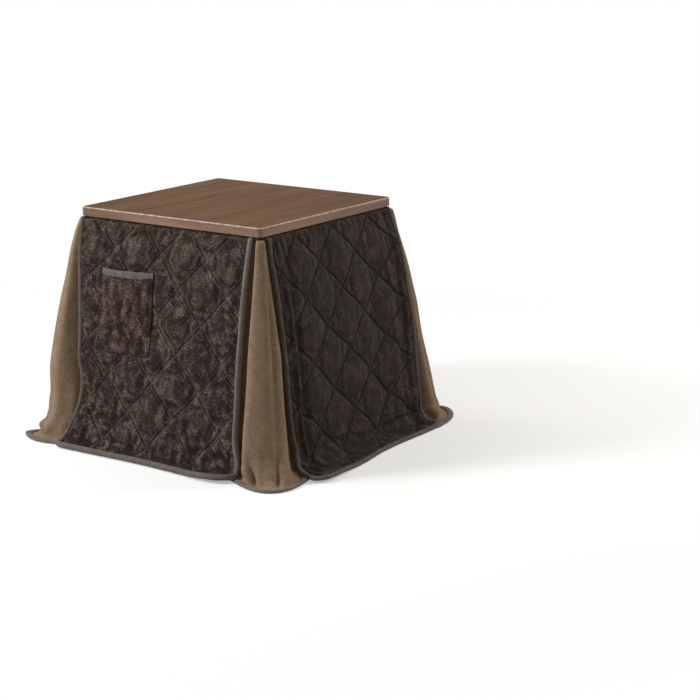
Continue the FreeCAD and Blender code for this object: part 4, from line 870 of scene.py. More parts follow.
@functools.lru_cache(maxsize=None)
def quilted_flannel():
    """Quilted polyester flannel: deep crushed pile, parted along the stitch lines that draw it in, with
    painted light and shade on its ridges, folds, stitch lines and sides.
    """
    finish, tree, shader = blank_finish("quilted flannel, crushed pile")
    cloth = add_node(tree, "ShaderNodeUVMap", uv_map="cloth").outputs[0]
    stitch = add_node(tree, "ShaderNodeUVMap", uv_map="stitch").outputs[0]
    crush = add_node(tree, "ShaderNodeAttribute", attribute_name="crush").outputs["Fac"]
    warm = add_node(tree, "ShaderNodeAttribute", attribute_name="warm").outputs["Fac"]
    # Crushed patches about 30 mm wide and half as long again, as the nap falls
    patches = add_node(tree, "ShaderNodeMapping", {
        "Vector": cloth, "Rotation": (0, 0, 0.3), "Scale": (36, 22, 1)})
    patch = add_node(tree, "ShaderNodeTexNoise", {
        "Vector": patches.outputs[0], "Scale": 1.0, "Detail": 2.5, "Roughness": 0.6, "Distortion": 0.7})
    # Tufts of 3 to 5 mm, where the pile leans this way and that
    tufts = add_node(tree, "ShaderNodeMapping", {
        "Vector": cloth, "Rotation": (0, 0, -0.2), "Scale": (300, 220, 1)})
    tuft = add_node(tree, "ShaderNodeTexNoise", {
        "Vector": tufts.outputs[0], "Scale": 1.0, "Detail": 2.0, "Roughness": 0.65, "Distortion": 0.2})
    # Nap tips 1.6 mm apart; the real ones are finer and are drawn as coarse as they need to show
    nap = add_node(tree, "ShaderNodeTexNoise", {"Vector": cloth, "Scale": 620.0, "Detail": 1.0})
    tuft_share = add_node(tree, "ShaderNodeMath", {0: tuft.outputs["Fac"], 1: 0.62}, operation="MULTIPLY")
    patched = add_node(tree, "ShaderNodeMath", {
        0: patch.outputs["Fac"], 1: 0.75, 2: tuft_share.outputs[0]}, operation="MULTIPLY_ADD")
    # Painted highlights on the ridges, and painted shade in the folds between them
    ridge = add_node(tree, "ShaderNodeAttribute", attribute_name="ridge").outputs["Fac"]
    both = add_node(tree, "ShaderNodeMath", {
        0: ridge, 1: 0.1, 2: patched.outputs[0]}, operation="MULTIPLY_ADD")
    lit = add_node(tree, "ShaderNodeMapRange", {
        "Value": both.outputs[0], "From Min": 0.58, "From Max": 1.12}, interpolation_type="SMOOTHSTEP")
    # Painted light and shade: the crush-and-light value draws the lit sides paler and the shaded sides
    # darker
    lit_here = add_node(tree, "ShaderNodeMath", {0: lit.outputs[0], 1: crush}, operation="MULTIPLY")
    pile = add_node(tree, "ShaderNodeMix", {
        0: lit_here.outputs[0], 6: tint("pile_shade"), 7: tint("pile_light")}, data_type="RGBA")
    # Cloth that light shines through from both sides, as at the pocket, looks browner
    browned = add_node(tree, "ShaderNodeMix", {
        0: warm, 6: (1, 1, 1, 1), 7: tint("pocket_cast")}, data_type="RGBA")
    coloured = add_node(tree, "ShaderNodeMix", {
        0: 1.0, 6: pile.outputs[2], 7: browned.outputs[2]}, data_type="RGBA", blend_type="MULTIPLY")
    speckle = add_node(tree, "ShaderNodeMapRange", {
        "Value": tuft.outputs["Fac"], "From Min": 0.32, "From Max": 0.68, "To Min": 0.5, "To Max": 1.45})
    tips = add_node(tree, "ShaderNodeMapRange", {
        "Value": nap.outputs["Fac"], "From Min": 0.35, "From Max": 0.7, "To Min": 0.62, "To Max": 1.6})
    grain = add_node(tree, "ShaderNodeMath", {
        0: speckle.outputs[0], 1: tips.outputs[0]}, operation="MULTIPLY")
    napped = add_node(tree, "ShaderNodeMix", {
        0: 1.0, 6: coloured.outputs[2], 7: grain.outputs[0]}, data_type="RGBA", blend_type="MULTIPLY")
    # How far the nearest stitch line is: the lines of each family are 118 mm apart
    split = add_node(tree, "ShaderNodeSeparateXYZ", {0: stitch})
    one_way = add_node(tree, "ShaderNodeMath", {0: split.outputs[0], 1: 0.5}, operation="PINGPONG")
    other_way = add_node(tree, "ShaderNodeMath", {0: split.outputs[1], 1: 0.5}, operation="PINGPONG")
    nearest = add_node(tree, "ShaderNodeMath", {
        0: one_way.outputs[0], 1: other_way.outputs[0]}, operation="MINIMUM")
    away = add_node(tree, "ShaderNodeMath", {0: nearest.outputs[0], 1: LINE_GAP}, operation="MULTIPLY")
    thread = add_node(tree, "ShaderNodeMapRange", {
        "Value": away.outputs[0], "From Min": 0.6, "From Max": 2.8, "To Min": 1.0, "To Max": 0.0},
        interpolation_type="SMOOTHSTEP")
    # Painted highlight and shade along the stitch lines: pale on the lit front, dark on the shaded sides
    line_lit_share = add_node(tree, "ShaderNodeMapRange", {"Value": crush, "From Min": 0.45, "From Max": 0.9})
    # Painted shade in the grooves beside each line, strongest on the shaded sides
    groove_shade = add_node(tree, "ShaderNodeMapRange", {
        "Value": away.outputs[0], "From Min": 0.0, "From Max": 8.0, "To Min": 0.55, "To Max": 1.04},
        interpolation_type="SMOOTHSTEP")
    groove_shade_share = add_node(tree, "ShaderNodeMapRange", {
        "Value": crush, "From Min": 0.3, "From Max": 1.0, "To Min": 1.0, "To Max": 0.45})
    groove_shaded = add_node(tree, "ShaderNodeMix", {
        0: groove_shade_share.outputs[0], 6: (1, 1, 1, 1), 7: groove_shade.outputs[0]}, data_type="RGBA")
    shaded = add_node(tree, "ShaderNodeMix", {
        0: 1.0, 6: napped.outputs[2], 7: groove_shaded.outputs[2]}, data_type="RGBA", blend_type="MULTIPLY")
    line_tone = add_node(tree, "ShaderNodeMix", {
        0: line_lit_share.outputs[0], 6: tint("stitch_shade"), 7: tint("stitch_light")}, data_type="RGBA")
    # The painted tone shows along some of each stitch line and not along the rest
    shows = add_node(tree, "ShaderNodeMapRange", {
        "Value": patched.outputs[0], "From Min": 0.58, "From Max": 0.86, "To Min": 0.12, "To Max": 0.95})
    line = add_node(tree, "ShaderNodeMath", {
        0: thread.outputs[0], 1: shows.outputs[0]}, operation="MULTIPLY")
    final = add_node(tree, "ShaderNodeMix", {
        0: line.outputs[0], 6: shaded.outputs[2], 7: line_tone.outputs[2]}, data_type="RGBA")
    gloss = add_node(tree, "ShaderNodeMapRange", {
        "Value": lit_here.outputs[0], "To Min": 0.86, "To Max": 0.5})
    # Relief of about a millimetre: nap on tufts on crushed patches, sunk along the stitch lines
    nap_rise = add_node(tree, "ShaderNodeMath", {0: nap.outputs["Fac"], 1: 0.5}, operation="MULTIPLY")
    tuft_rise = add_node(tree, "ShaderNodeMath", {
        0: tuft.outputs["Fac"], 1: 1.0, 2: nap_rise.outputs[0]}, operation="MULTIPLY_ADD")
    crumple = add_node(tree, "ShaderNodeMath", {0: patch.outputs["Fac"], 1: crush}, operation="MULTIPLY")
    patch_rise = add_node(tree, "ShaderNodeMath", {
        0: crumple.outputs[0], 1: 2.2, 2: tuft_rise.outputs[0]}, operation="MULTIPLY_ADD")
    rise = add_node(tree, "ShaderNodeMath", {
        0: thread.outputs[0], 1: -1.4, 2: patch_rise.outputs[0]}, operation="MULTIPLY_ADD")
    bump = add_node(tree, "ShaderNodeBump", {
        "Height": rise.outputs[0], "Distance": 0.0011, "Strength": 1.0})
    # Dull straight on, with the faint sheen of pile seen along its tips
    feed(tree, shader, {
        "Base Color": final.outputs[2], "Roughness": gloss.outputs[0], "Normal": bump.outputs[0],
        "Specular IOR Level": 0.25, "Sheen Weight": 0.06, "Sheen Roughness": 0.4,
        "Sheen Tint": colour("#A8947F")})
    return finish


@functools.lru_cache(maxsize=None)
def binding_tape():
    """Brushed bias tape: short even nap, a stitched edge and faint pulls across it."""
    finish, tree, shader = blank_finish("brushed bias tape")
    cloth = add_node(tree, "ShaderNodeUVMap", uv_map="cloth").outputs[0]
    place = add_node(tree, "ShaderNodeTexCoord").outputs["Object"]
    # Nap about 2.4 mm across, and worn patches of 18 mm
    nap = add_node(tree, "ShaderNodeTexNoise", {"Vector": place, "Scale": 420.0, "Detail": 2.0})
    wear = add_node(tree, "ShaderNodeTexNoise", {"Vector": place, "Scale": 55.0, "Detail": 2.0})
    # The stitches draw the tape in about every 9 mm
    pulls = add_node(tree, "ShaderNodeMapping", {"Vector": cloth, "Scale": (110, 1.5, 1)})
    pull = add_node(tree, "ShaderNodeTexNoise", {"Vector": pulls.outputs[0], "Scale": 1.0, "Detail": 1.0})
    crush = add_node(tree, "ShaderNodeAttribute", attribute_name="crush").outputs["Fac"]
    worn = add_node(tree, "ShaderNodeMath", {0: wear.outputs["Fac"], 1: 0.6}, operation="MULTIPLY")
    # The tape's tone mixes random worn patches with the painted light and shade that each tape carries
    flat = add_node(tree, "ShaderNodeMath", {
        0: crush, 1: 0.7, 2: worn.outputs[0]}, operation="MULTIPLY_ADD")
    tone = add_node(tree, "ShaderNodeMix", {
        0: flat.outputs[0], 6: tint("tape_shade"), 7: tint("tape_light")}, data_type="RGBA")
    shadow = add_node(tree, "ShaderNodeMapRange", {
        "Value": nap.outputs["Fac"], "From Min": 0.32, "From Max": 0.68, "To Min": 0.62, "To Max": 1.28})
    napped = add_node(tree, "ShaderNodeMix", {
        0: 1.0, 6: tone.outputs[2], 7: shadow.outputs[0]}, data_type="RGBA", blend_type="MULTIPLY")
    rise = add_node(tree, "ShaderNodeMath", {
        0: pull.outputs["Fac"], 1: 1.4, 2: nap.outputs["Fac"]}, operation="MULTIPLY_ADD")
    bump = add_node(tree, "ShaderNodeBump", {
        "Height": rise.outputs[0], "Distance": 0.0009, "Strength": 1.0})
    # Brushed cotton: matt, with a soft pale edge where it turns away
    feed(tree, shader, {
        "Base Color": napped.outputs[2], "Roughness": 0.82, "Normal": bump.outputs[0],
        "Specular IOR Level": 0.2, "Sheen Weight": 0.2, "Sheen Roughness": 0.5,
        "Sheen Tint": colour("#B8AAA2")})
    return finish


@functools.lru_cache(maxsize=None)
def plain_fleece():
    """Plain polyester fleece: a soft level nap over fine ribs, which catches light on each swell."""
    finish, tree, shader = blank_finish("plain fleece")
    place = add_node(tree, "ShaderNodeTexCoord").outputs["Object"]
    # Knitted ribs 3.3 mm wide and 7.7 mm long, nap 1.9 mm across, and clouds of 22 mm
    ribs = add_node(tree, "ShaderNodeMapping", {"Vector": place, "Scale": (300, 300, 130)})
    rib = add_node(tree, "ShaderNodeTexNoise", {
        "Vector": ribs.outputs[0], "Scale": 1.0, "Detail": 2.0, "Roughness": 0.65})
    nap = add_node(tree, "ShaderNodeTexNoise", {
        "Vector": place, "Scale": 520.0, "Detail": 2.0, "Roughness": 0.6})
    cloud = add_node(tree, "ShaderNodeTexNoise", {"Vector": place, "Scale": 45.0, "Detail": 3.0})
    tone = add_node(tree, "ShaderNodeMix", {
        0: cloud.outputs["Fac"], 6: tint("fleece_shade"), 7: tint("fleece_light")}, data_type="RGBA")
    ribbed = add_node(tree, "ShaderNodeMapRange", {
        "Value": rib.outputs["Fac"], "From Min": 0.3, "From Max": 0.7, "To Min": 0.8, "To Max": 1.2})
    tips = add_node(tree, "ShaderNodeMapRange", {
        "Value": nap.outputs["Fac"], "From Min": 0.3, "From Max": 0.7, "To Min": 0.86, "To Max": 1.14})
    grain = add_node(tree, "ShaderNodeMath", {
        0: ribbed.outputs[0], 1: tips.outputs[0]}, operation="MULTIPLY")
    napped = add_node(tree, "ShaderNodeMix", {
        0: 1.0, 6: tone.outputs[2], 7: grain.outputs[0]}, data_type="RGBA", blend_type="MULTIPLY")
    rise = add_node(tree, "ShaderNodeMath", {
        0: rib.outputs["Fac"], 1: 1.2, 2: nap.outputs["Fac"]}, operation="MULTIPLY_ADD")
    bump = add_node(tree, "ShaderNodeBump", {
        "Height": rise.outputs[0], "Distance": 0.0006, "Strength": 0.9})
    # Fleece is the dullest of the cloths, and its short nap pales where it turns away
    feed(tree, shader, {
        "Base Color": napped.outputs[2], "Roughness": 0.9, "Normal": bump.outputs[0],
        "Specular IOR Level": 0.15, "Sheen Weight": 0.2, "Sheen Roughness": 0.5,
        "Sheen Tint": colour("#CDBBA6")})
    return finish


@functools.lru_cache(maxsize=None)
def wood(name, light, dark, stretch, roughness, level, coat, rim_highlight=None):
    """Straight-grained wood or its print: long fibres, wider growth bands, fine pores and, where given, a
    painted highlight along the rim.
    """
    finish, tree, shader = blank_finish(name)
    place = add_node(tree, "ShaderNodeTexCoord").outputs["Object"]
    # Growth bands about 33 mm wide, drawn out along the grain
    bands = add_node(tree, "ShaderNodeMapping", {
        "Vector": place, "Scale": tuple(30 * part for part in stretch)})
    band = add_node(tree, "ShaderNodeTexNoise", {
        "Vector": bands.outputs[0], "Scale": 1.0, "Detail": 4.0, "Roughness": 0.5, "Distortion": 0.4})
    # Fibres about 1.7 mm wide
    fibres = add_node(tree, "ShaderNodeMapping", {
        "Vector": place, "Scale": tuple(600 * part for part in stretch)})
    fibre = add_node(tree, "ShaderNodeTexNoise", {
        "Vector": fibres.outputs[0], "Scale": 1.0, "Detail": 3.0, "Roughness": 0.6})
    banded = add_node(tree, "ShaderNodeMapRange", {
        "Value": band.outputs["Fac"], "From Min": 0.34, "From Max": 0.68},
        interpolation_type="SMOOTHSTEP")
    tone = add_node(tree, "ShaderNodeMix", {0: banded.outputs[0], 6: dark, 7: light}, data_type="RGBA")
    pores = add_node(tree, "ShaderNodeMapRange", {
        "Value": fibre.outputs["Fac"], "From Min": 0.3, "From Max": 0.62, "To Min": 0.82, "To Max": 1.05})
    final = add_node(tree, "ShaderNodeMix", {
        0: 1.0, 6: tone.outputs[2], 7: pores.outputs[0]}, data_type="RGBA", blend_type="MULTIPLY")
    if rim_highlight:
        # Painted highlight: pale spots along the board's rounded upper rim, where its lacquer catches the
        # light
        height = add_node(tree, "ShaderNodeSeparateXYZ", {0: place}).outputs[2]
        rim = add_node(tree, "ShaderNodeMapRange", {
            "Value": height, "From Min": (RIM_TOP - 1.7 * RIM_ROUND) * MM,
            "From Max": (RIM_TOP - 0.3 * RIM_ROUND) * MM}, interpolation_type="SMOOTHSTEP")
        spots = add_node(tree, "ShaderNodeTexNoise", {"Vector": place, "Scale": 60.0, "Detail": 3.0})
        spot = add_node(tree, "ShaderNodeMapRange", {
            "Value": spots.outputs["Fac"], "From Min": 0.4, "From Max": 0.6, "To Min": 0.25})
        highlight_share = add_node(tree, "ShaderNodeMath", {
            0: rim.outputs[0], 1: spot.outputs[0]}, operation="MULTIPLY")
        final = add_node(tree, "ShaderNodeMix", {
            0: highlight_share.outputs[0], 6: final.outputs[2], 7: rim_highlight}, data_type="RGBA")
    gloss = add_node(tree, "ShaderNodeMapRange", {
        "Value": fibre.outputs["Fac"], "To Min": roughness + 0.08, "To Max": roughness - 0.04})
    bump = add_node(tree, "ShaderNodeBump", {
        "Height": fibre.outputs["Fac"], "Distance": 0.00015, "Strength": 0.6})
    feed(tree, shader, {
        "Base Color": final.outputs[2], "Roughness": gloss.outputs[0], "Normal": bump.outputs[0],
        "Specular IOR Level": level, "Coat Weight": coat, "Coat Roughness": 0.22})
    return finish


@functools.lru_cache(maxsize=None)
def hard_finish(name, light, dark, roughness, metallic, grain, relief):
    """Metal, paint, plastic or ceramic: a mottle of two close tones, uneven gloss and a fine skin."""
    finish, tree, shader = blank_finish(name)
    place = add_node(tree, "ShaderNodeTexCoord").outputs["Object"]
    skin = add_node(tree, "ShaderNodeTexNoise", {"Vector": place, "Scale": 1000.0 / grain, "Detail": 3.0})
    cloud = add_node(tree, "ShaderNodeTexNoise", {"Vector": place, "Scale": 45.0, "Detail": 3.0})
    tone = add_node(tree, "ShaderNodeMix", {
        0: cloud.outputs["Fac"], 6: colour(dark), 7: colour(light)}, data_type="RGBA")
    gloss = add_node(tree, "ShaderNodeMapRange", {
        "Value": skin.outputs["Fac"], "To Min": roughness - 0.06, "To Max": roughness + 0.08})
    bump = add_node(tree, "ShaderNodeBump", {
        "Height": skin.outputs["Fac"], "Distance": relief * MM, "Strength": 0.5})
    feed(tree, shader, {
        "Base Color": tone.outputs[2], "Roughness": gloss.outputs[0], "Normal": bump.outputs[0],
        "Metallic": metallic})
    return finish


@functools.lru_cache(maxsize=None)
def quartz_glass():
    """Fused quartz tube: clear, with faint drawn streaks in its gloss."""
    finish, tree, shader = blank_finish("fused quartz tube")
    place = add_node(tree, "ShaderNodeTexCoord").outputs["Object"]
    # Streaks 2 mm wide and 50 mm long
    drawn = add_node(tree, "ShaderNodeMapping", {"Vector": place, "Scale": (20, 500, 500)})
    streak = add_node(tree, "ShaderNodeTexNoise", {
        "Vector": drawn.outputs[0], "Scale": 1.0, "Detail": 2.0})
    gloss = add_node(tree, "ShaderNodeMapRange", {
        "Value": streak.outputs["Fac"], "To Min": 0.02, "To Max": 0.12})
    feed(tree, shader, {
        "Base Color": colour("#F4F2EC"), "Roughness": gloss.outputs[0],
        "Transmission Weight": 1.0, "IOR": 1.46})
    return finish


# Hard finishes by slot: name, light, dark, roughness, metallic, grain in mm and relief in mm.
# Bare metals are the glossiest, and drawn or mill-rolled ones less so than the bright reflector.
# Enamel, paint and nylon are satin, and sawn board and unglazed ceramic don't shine at all.
HARD_FINISHES = {
    "board_core_wood": ("particle board, sawn", "#B69A70", "#8A6E49", 0.85, 0.0, 1.5, 0.4),
    "zinc_steel": ("zinc-plated steel", "#C9CBC7", "#A9ACA9", 0.32, 1.0, 1.2, 0.03),
    "nylon": ("moulded nylon", "#2B2724", "#211E1B", 0.5, 0.0, 0.8, 0.05),
    "casing_paint": ("heat-resistant paint on steel", "#3A3733", "#2E2B28", 0.5, 0.0, 0.7, 0.06),
    "guard_paint": ("baked enamel on wire", "#2E2B28", "#25221F", 0.42, 0.0, 0.6, 0.04),
    "reflector_aluminium": ("bright aluminium sheet", "#E4E5E6", "#CFD1D3", 0.16, 1.0, 2.0, 0.03),
    "filament_steel": ("heating alloy, oxidised", "#7D7067", "#5A4F48", 0.5, 1.0, 0.4, 0.03),
    "cap_ceramic": ("unglazed steatite", "#E7E1D3", "#D8D1C1", 0.8, 0.0, 0.5, 0.08),
    "motor_paint": ("satin paint on steel", "#55565A", "#47484B", 0.42, 0.3, 0.8, 0.05),
    "fan_aluminium": ("mill-finish aluminium", "#C7C9CB", "#B0B2B5", 0.34, 1.0, 1.0, 0.03),
    "thermostat_plastic": ("phenolic moulding", "#2A2523", "#1F1B1A", 0.45, 0.0, 0.6, 0.05),
    "fuse_ceramic": ("glazed ceramic", "#E2DCCC", "#D0C9B7", 0.3, 0.0, 0.6, 0.03),
    "inlet_plastic": ("moulded nylon housing", "#262423", "#1C1A19", 0.46, 0.0, 0.7, 0.05),
    "pin_brass": ("brass, drawn", "#D9B968", "#BE9C4E", 0.28, 1.0, 0.6, 0.02),
    "lead_rubber": ("silicone sleeve", "#D6D0C2", "#C4BDAE", 0.6, 0.0, 0.5, 0.04),
}


def all_finishes():
    """Every finish that a solid left as it is may have, by the name of its slot."""
    finishes = {
        "walnut_print": wood(
            "melamine walnut print, satin", tint("walnut_light"), tint("walnut_shade"),
            stretch=(1.0, 0.07, 1.0), roughness=0.5, level=0.03, coat=0.0),
        # The board's edge band, with a painted highlight along its upper rim
        "board_edge_wood": wood(
            "walnut edge band, lacquered", tint("edge_light"), tint("edge_shade"),
            stretch=(0.12, 0.12, 1.0), roughness=0.4, level=0.22, coat=0.1, rim_highlight=tint("edge_highlight")),
        "backing_print": wood(
            "backing paper, matte", colour("#6B553F"), colour("#58452F"),
            stretch=(1.0, 0.1, 1.0), roughness=0.6, level=0.2, coat=0.0),
        "frame_wood": wood(
            "hardwood, brown lacquer", tint("frame_light"), tint("frame_shade"),
            stretch=(1.0, 1.0, 0.08), roughness=0.38, level=0.4, coat=0.2),
        "quartz": quartz_glass(),
    }
    for slot, looks in HARD_FINISHES.items():
        finishes[slot] = hard_finish(*looks)
    return finishes


def slot_of(piece):
    """The material slot that the record gives a CAD node."""
    held = piece.data.materials[0] if piece.data.materials else None
    return held.name.split(".")[0] if held else ""


def seen_directly(tree):
    """1 for what the camera, a gloss or a glass shows, and 0 for light that falls on the table."""
    rays = add_node(tree, "ShaderNodeLightPath")
    seen = add_node(tree, "ShaderNodeMath", {
        0: rays.outputs["Is Camera Ray"], 1: rays.outputs["Is Glossy Ray"]}, operation="MAXIMUM")
    shown = add_node(tree, "ShaderNodeMath", {
        0: seen.outputs[0], 1: rays.outputs["Is Transmission Ray"]}, operation="MAXIMUM")
    return shown.outputs[0]


# The cover's soft pieces


def lattice(side):
    """Grid places across and down a panel, so that its stitch lines run through grid corners."""
    shape = SHAPES[side]
    step_across, step_down = (half / CELLS for half in shape.half_step)
    # The cloth ends under its tape, and the next grid line lies 2 mm or more inside that end
    edge = HALF_PANEL - 4.0
    start = math.ceil((-edge + 2.0 - shape.crossing[0]) / step_across)
    stop = math.floor((edge - 2.0 - shape.crossing[0]) / step_across)
    across = [(-edge, start - 1)]
    across += [(shape.crossing[0] + number * step_across, number) for number in range(start, stop + 1)]
    across.append((edge, stop + 1))
    places = range(-260, 261, 20)
    height = sum(column_length(side, place) for place in places) / len(places)
    rows = round(height / step_down)
    crossing_row = round(shape.crossing[1] / step_down)
    down = [(number / rows, number - crossing_row) for number in range(rows + 1)]
    return across, down, height


def puff_out(piece, held, growth, pressure):
    """Cloth simulation: the layer swells between the stitches that hold it, and the result is applied."""
    group = piece.vertex_groups.new(name="held")
    group.add([index for index, is_held in enumerate(held) if is_held], 1.0, "REPLACE")
    modifier = piece.modifiers.new("puff", "CLOTH")
    settings = modifier.settings
    settings.quality = 5
    settings.mass = 0.2
    settings.tension_stiffness = 18
    settings.compression_stiffness = 18
    settings.shear_stiffness = 6
    settings.bending_stiffness = 0.25
    settings.vertex_group_mass = "held"
    settings.shrink_min = -growth
    settings.use_pressure = True
    settings.uniform_pressure_force = pressure
    settings.effector_weights.gravity = 0.0
    modifier.collision_settings.use_collision = False
    modifier.point_cache.frame_start = 1
    modifier.point_cache.frame_end = PUFF_FRAMES
    for number in range(1, PUFF_FRAMES + 1):
        bpy.context.scene.frame_set(number)
    apply_modifier(piece, modifier)
    piece.vertex_groups.clear()
    bpy.context.scene.frame_set(1)


def pulled_face(side, across, down, corner):
    """A panel's outer face in the row frame, its cloth pulled about by the wadding."""
    face = []
    for share, row_number in down:
        for place, number in across:
            length = column_length(side, place)
            free = smooth(share * 9.0) * smooth((1.0 - share) * 9.0)
            free *= fade(HALF_PANEL - abs(place), 0.0, 60.0)
            spot = (place, share * length, 0)
            aside, below = (PULL * free * ripple(spot, PULL_SIZE, seed) for seed in PULL_SEEDS)
            face.append(turned(side, cloth_point(side, place + aside, share + below / length, corner)))
    return face


def sewn_face(side, across, down, face, normals, depth):
    """That face drawn in by its stitches, which points they hold, and its places in stitch gaps."""
    rows, columns = len(down), len(across)
    sewn = []
    held = []
    gaps = []
    for row, (share, row_number) in enumerate(down):
        for place, (side_place, number) in enumerate(across):
            # Folds and grooves run out at the panel's edges
            ends = min(1.0, row / 4) * min(1.0, (rows - 1 - row) / 3)
            ends *= min(1.0, place / 2, (columns - 1 - place) / 2)
            relief = cloth_relief(side, side_place, share, column_length(side, side_place))
            first = (number + row_number) / (2 * CELLS)
            second = (number - row_number) / (2 * CELLS)
            groove = dent(from_stitch(first, second), *FACE_GROOVE) * ends
            index = row * columns + place
            sewn.append(face[index] + normals[index] * (relief * ends - depth - groove))
            at_edge = row in (0, rows - 1) or place in (0, columns - 1)
            held.append(at_edge or first.is_integer() or second.is_integer())
            gaps.append((first, second))
    return sewn, held, gaps


def swollen_face(side, rows, columns, normals, sewn, held, sizes):
    """The sewn face swelled by its wadding, and no point further than the limit."""
    layer = new_piece("layer", sewn, grid_faces(rows, columns))
    turn_faces(layer, 0, normals[0])
    puff_out(layer, held, sizes.puff_growth * SHAPES[side].slack_share, sizes.puff_pressure)
    reach = mm(sizes.puff_limit)
    swollen = []
    for index, vertex in enumerate(layer.data.vertices):
        moved = vertex.co / MM - sewn[index]
        if moved.length > 0:
            moved = moved.normalized() * reach * math.tanh(moved.length / reach)
        swollen.append(sewn[index] + moved)
    bpy.data.objects.remove(layer)
    return swollen


def quilted_panel(side, sizes):
    """One quilted panel, its face before it swelled, its area and the height of its cloth."""
    across, down, height = lattice(side)
    rows, columns = len(down), len(across)
    face = pulled_face(side, across, down, mm(sizes.corner_round))
    normals = grid_normals(face, rows, columns, turned(side, (0.0, 1.0, 0.0)))
    sewn, held, gaps = sewn_face(side, across, down, face, normals, mm(sizes.stitch_depth))
    swollen = swollen_face(side, rows, columns, normals, sewn, held, sizes)
    lining = []
    for point, normal, gap in zip(face, normals, gaps):
        lining.append(point - normal * (QUILT_LAYER - 0.4 - dent(from_stitch(*gap), *LINING_GROOVE)))
    cloth = [(place * MM, -share * height * MM) for share, row_number in down for place, number in across]
    piece = two_sided(f"quilt_{side}", swollen, lining, rows, columns, cloth, gaps)
    # Painted shade: the pile is drawn darker towards the seam and lighter towards the hem
    crush = [SHAPES[side].crush * (0.78 + 0.22 * share) for share, row_number in down for place in across]
    write_value(piece, "crush", crush * 2)
    write_value(piece, "ridge", ridge_shares(swollen, normals, rows, columns, 2, 2.0) * 2)
    return piece, sewn, sheet_area(face, rows, columns), height


def press_flat(piece, flat, frame_of, border):
    """The wadding lies flat inside a (left, right, bottom, top) patch of the front panel."""
    left, right, bottom, top = frame_of
    for index, place in enumerate(flat):
        inside = min(place.x - left, right - place.x, place.z - bottom, top - place.z) + border
        if inside > 0:
            vertex = piece.data.vertices[index]
            vertex.co = vertex.co.lerp(place * MM, 0.9 * smooth(inside / border))


def draw_in(piece):
    """The left side's cloth hangs close beside the front corner, where the corner's fold hides it."""
    for vertex in piece.data.vertices:
        across, back, height = vertex.co / MM
        # In full from 322 to 230 mm in front of the table's middle, on the floor and well past the board
        share = fade(back, -392.0, -322.0) * fade(back, -40.0, -230.0)
        share *= fade(height, LEFT_DRAW_RISE, 0.0) * fade(-across, HALF_BOARD, HALF_BOARD + 100.0)
        vertex.co.x += LEFT_DRAW * MM * share
    piece.data.update()


def tape_places(length, corner):
    """(across, down) places round a panel: down its left edge, along its hem and up its right edge."""
    corner_share = 1.0 - corner / length
    straight = HALF_PANEL - corner
    half = [(-HALF_PANEL, corner_share * number / 100) for number in range(100)]
    half += [(-HALF_PANEL, corner_share + (1 - corner_share) * number / 9) for number in range(10)]
    half += [(-HALF_PANEL + corner * number / 9, 1.0) for number in range(1, 10)]
    half += [(-straight * (1 - number / 45), 1.0) for number in range(1, 45)]
    return half + [(0.0, 1.0)] + [(-place, share) for place, share in reversed(half)]


def tape_light_share(side, place, height):
    """Painted light and shade on a panel's tape: lightest along the front's right edge, darker at its hem,
    dark along its left edge, and dark all round the side panel.
    """
    low = fade(height, 60.0, 20.0)
    if side == "right":
        return 0.08 + 0.24 * low
    return 0.8 - 0.3 * low - 0.62 * (1.0 - low) * fade(-place, HALF_PANEL - 1.0, HALF_PANEL)


def panel_binding(side, sizes):
    """The tape sewn over a panel's two sides and its hem."""
    shape = SHAPES[side]
    corner = mm(sizes.corner_round)
    half_width = mm(sizes.binding_width) / 2
    length = column_length(side, HALF_PANEL)
    places = tape_places(length, corner)
    rims = []
    inners = []
    for place, share in places:
        rims.append(turned(side, cloth_point(side, place, share, corner)))
        inner_place = place * (1 - TAPE_BITE / HALF_PANEL)
        inner_share = min(share, 1 - TAPE_BITE / length)
        inners.append(turned(side, cloth_point(side, inner_place, inner_share, corner)))
    # The cloth's face looks out where it hangs and up where it lies
    facing = turned(side, (0.0, 1.0, 1.0))
    centres = []
    inward = []
    half_heights = []
    tape_tones = []
    for index, (rim, inner) in enumerate(zip(rims, inners)):
        before = rims[max(index - 1, 0)]
        after = rims[min(index + 1, len(rims) - 1)]
        tangent = (after - before).normalized()
        into = inner - rim
        into = (into - tangent * into.dot(tangent)).normalized()
        outward = tangent.cross(into).normalized()
        if outward.dot(facing) < 0:
            outward = -outward
        # The edge rolls back towards the corner fold, more where the skirt stands off the frame
        place = places[index][0]
        roll = TAPE_ROLL * fade(rim.z, 600.0, 400.0) * fade(rim.z, 24.0, 84.0)
        if place * shape.running_side > HALF_PANEL - corner:
            roll *= 0.2
        thick = 0.5 * shape.hem_rise * fade(rim.z, 40.0, 20.0)
        half_heights.append(QUILT_LAYER / 2 + mm(sizes.binding_proud) + roll + thick)
        centre = rim + into * (half_width - TAPE_SEAT) - outward * (QUILT_LAYER / 2 + roll)
        centre.z = max(centre.z, half_heights[-1] * 1.12 * abs(outward.z))
        centres.append(centre)
        inward.append(into)
        tape_tones.append(tape_light_share(side, place, rim.z))
    name = f"quilt_{side}_binding"
    return swept(name, centres, inward, half_width, half_heights, tape_tones, uneven=0.08, power=2.2)


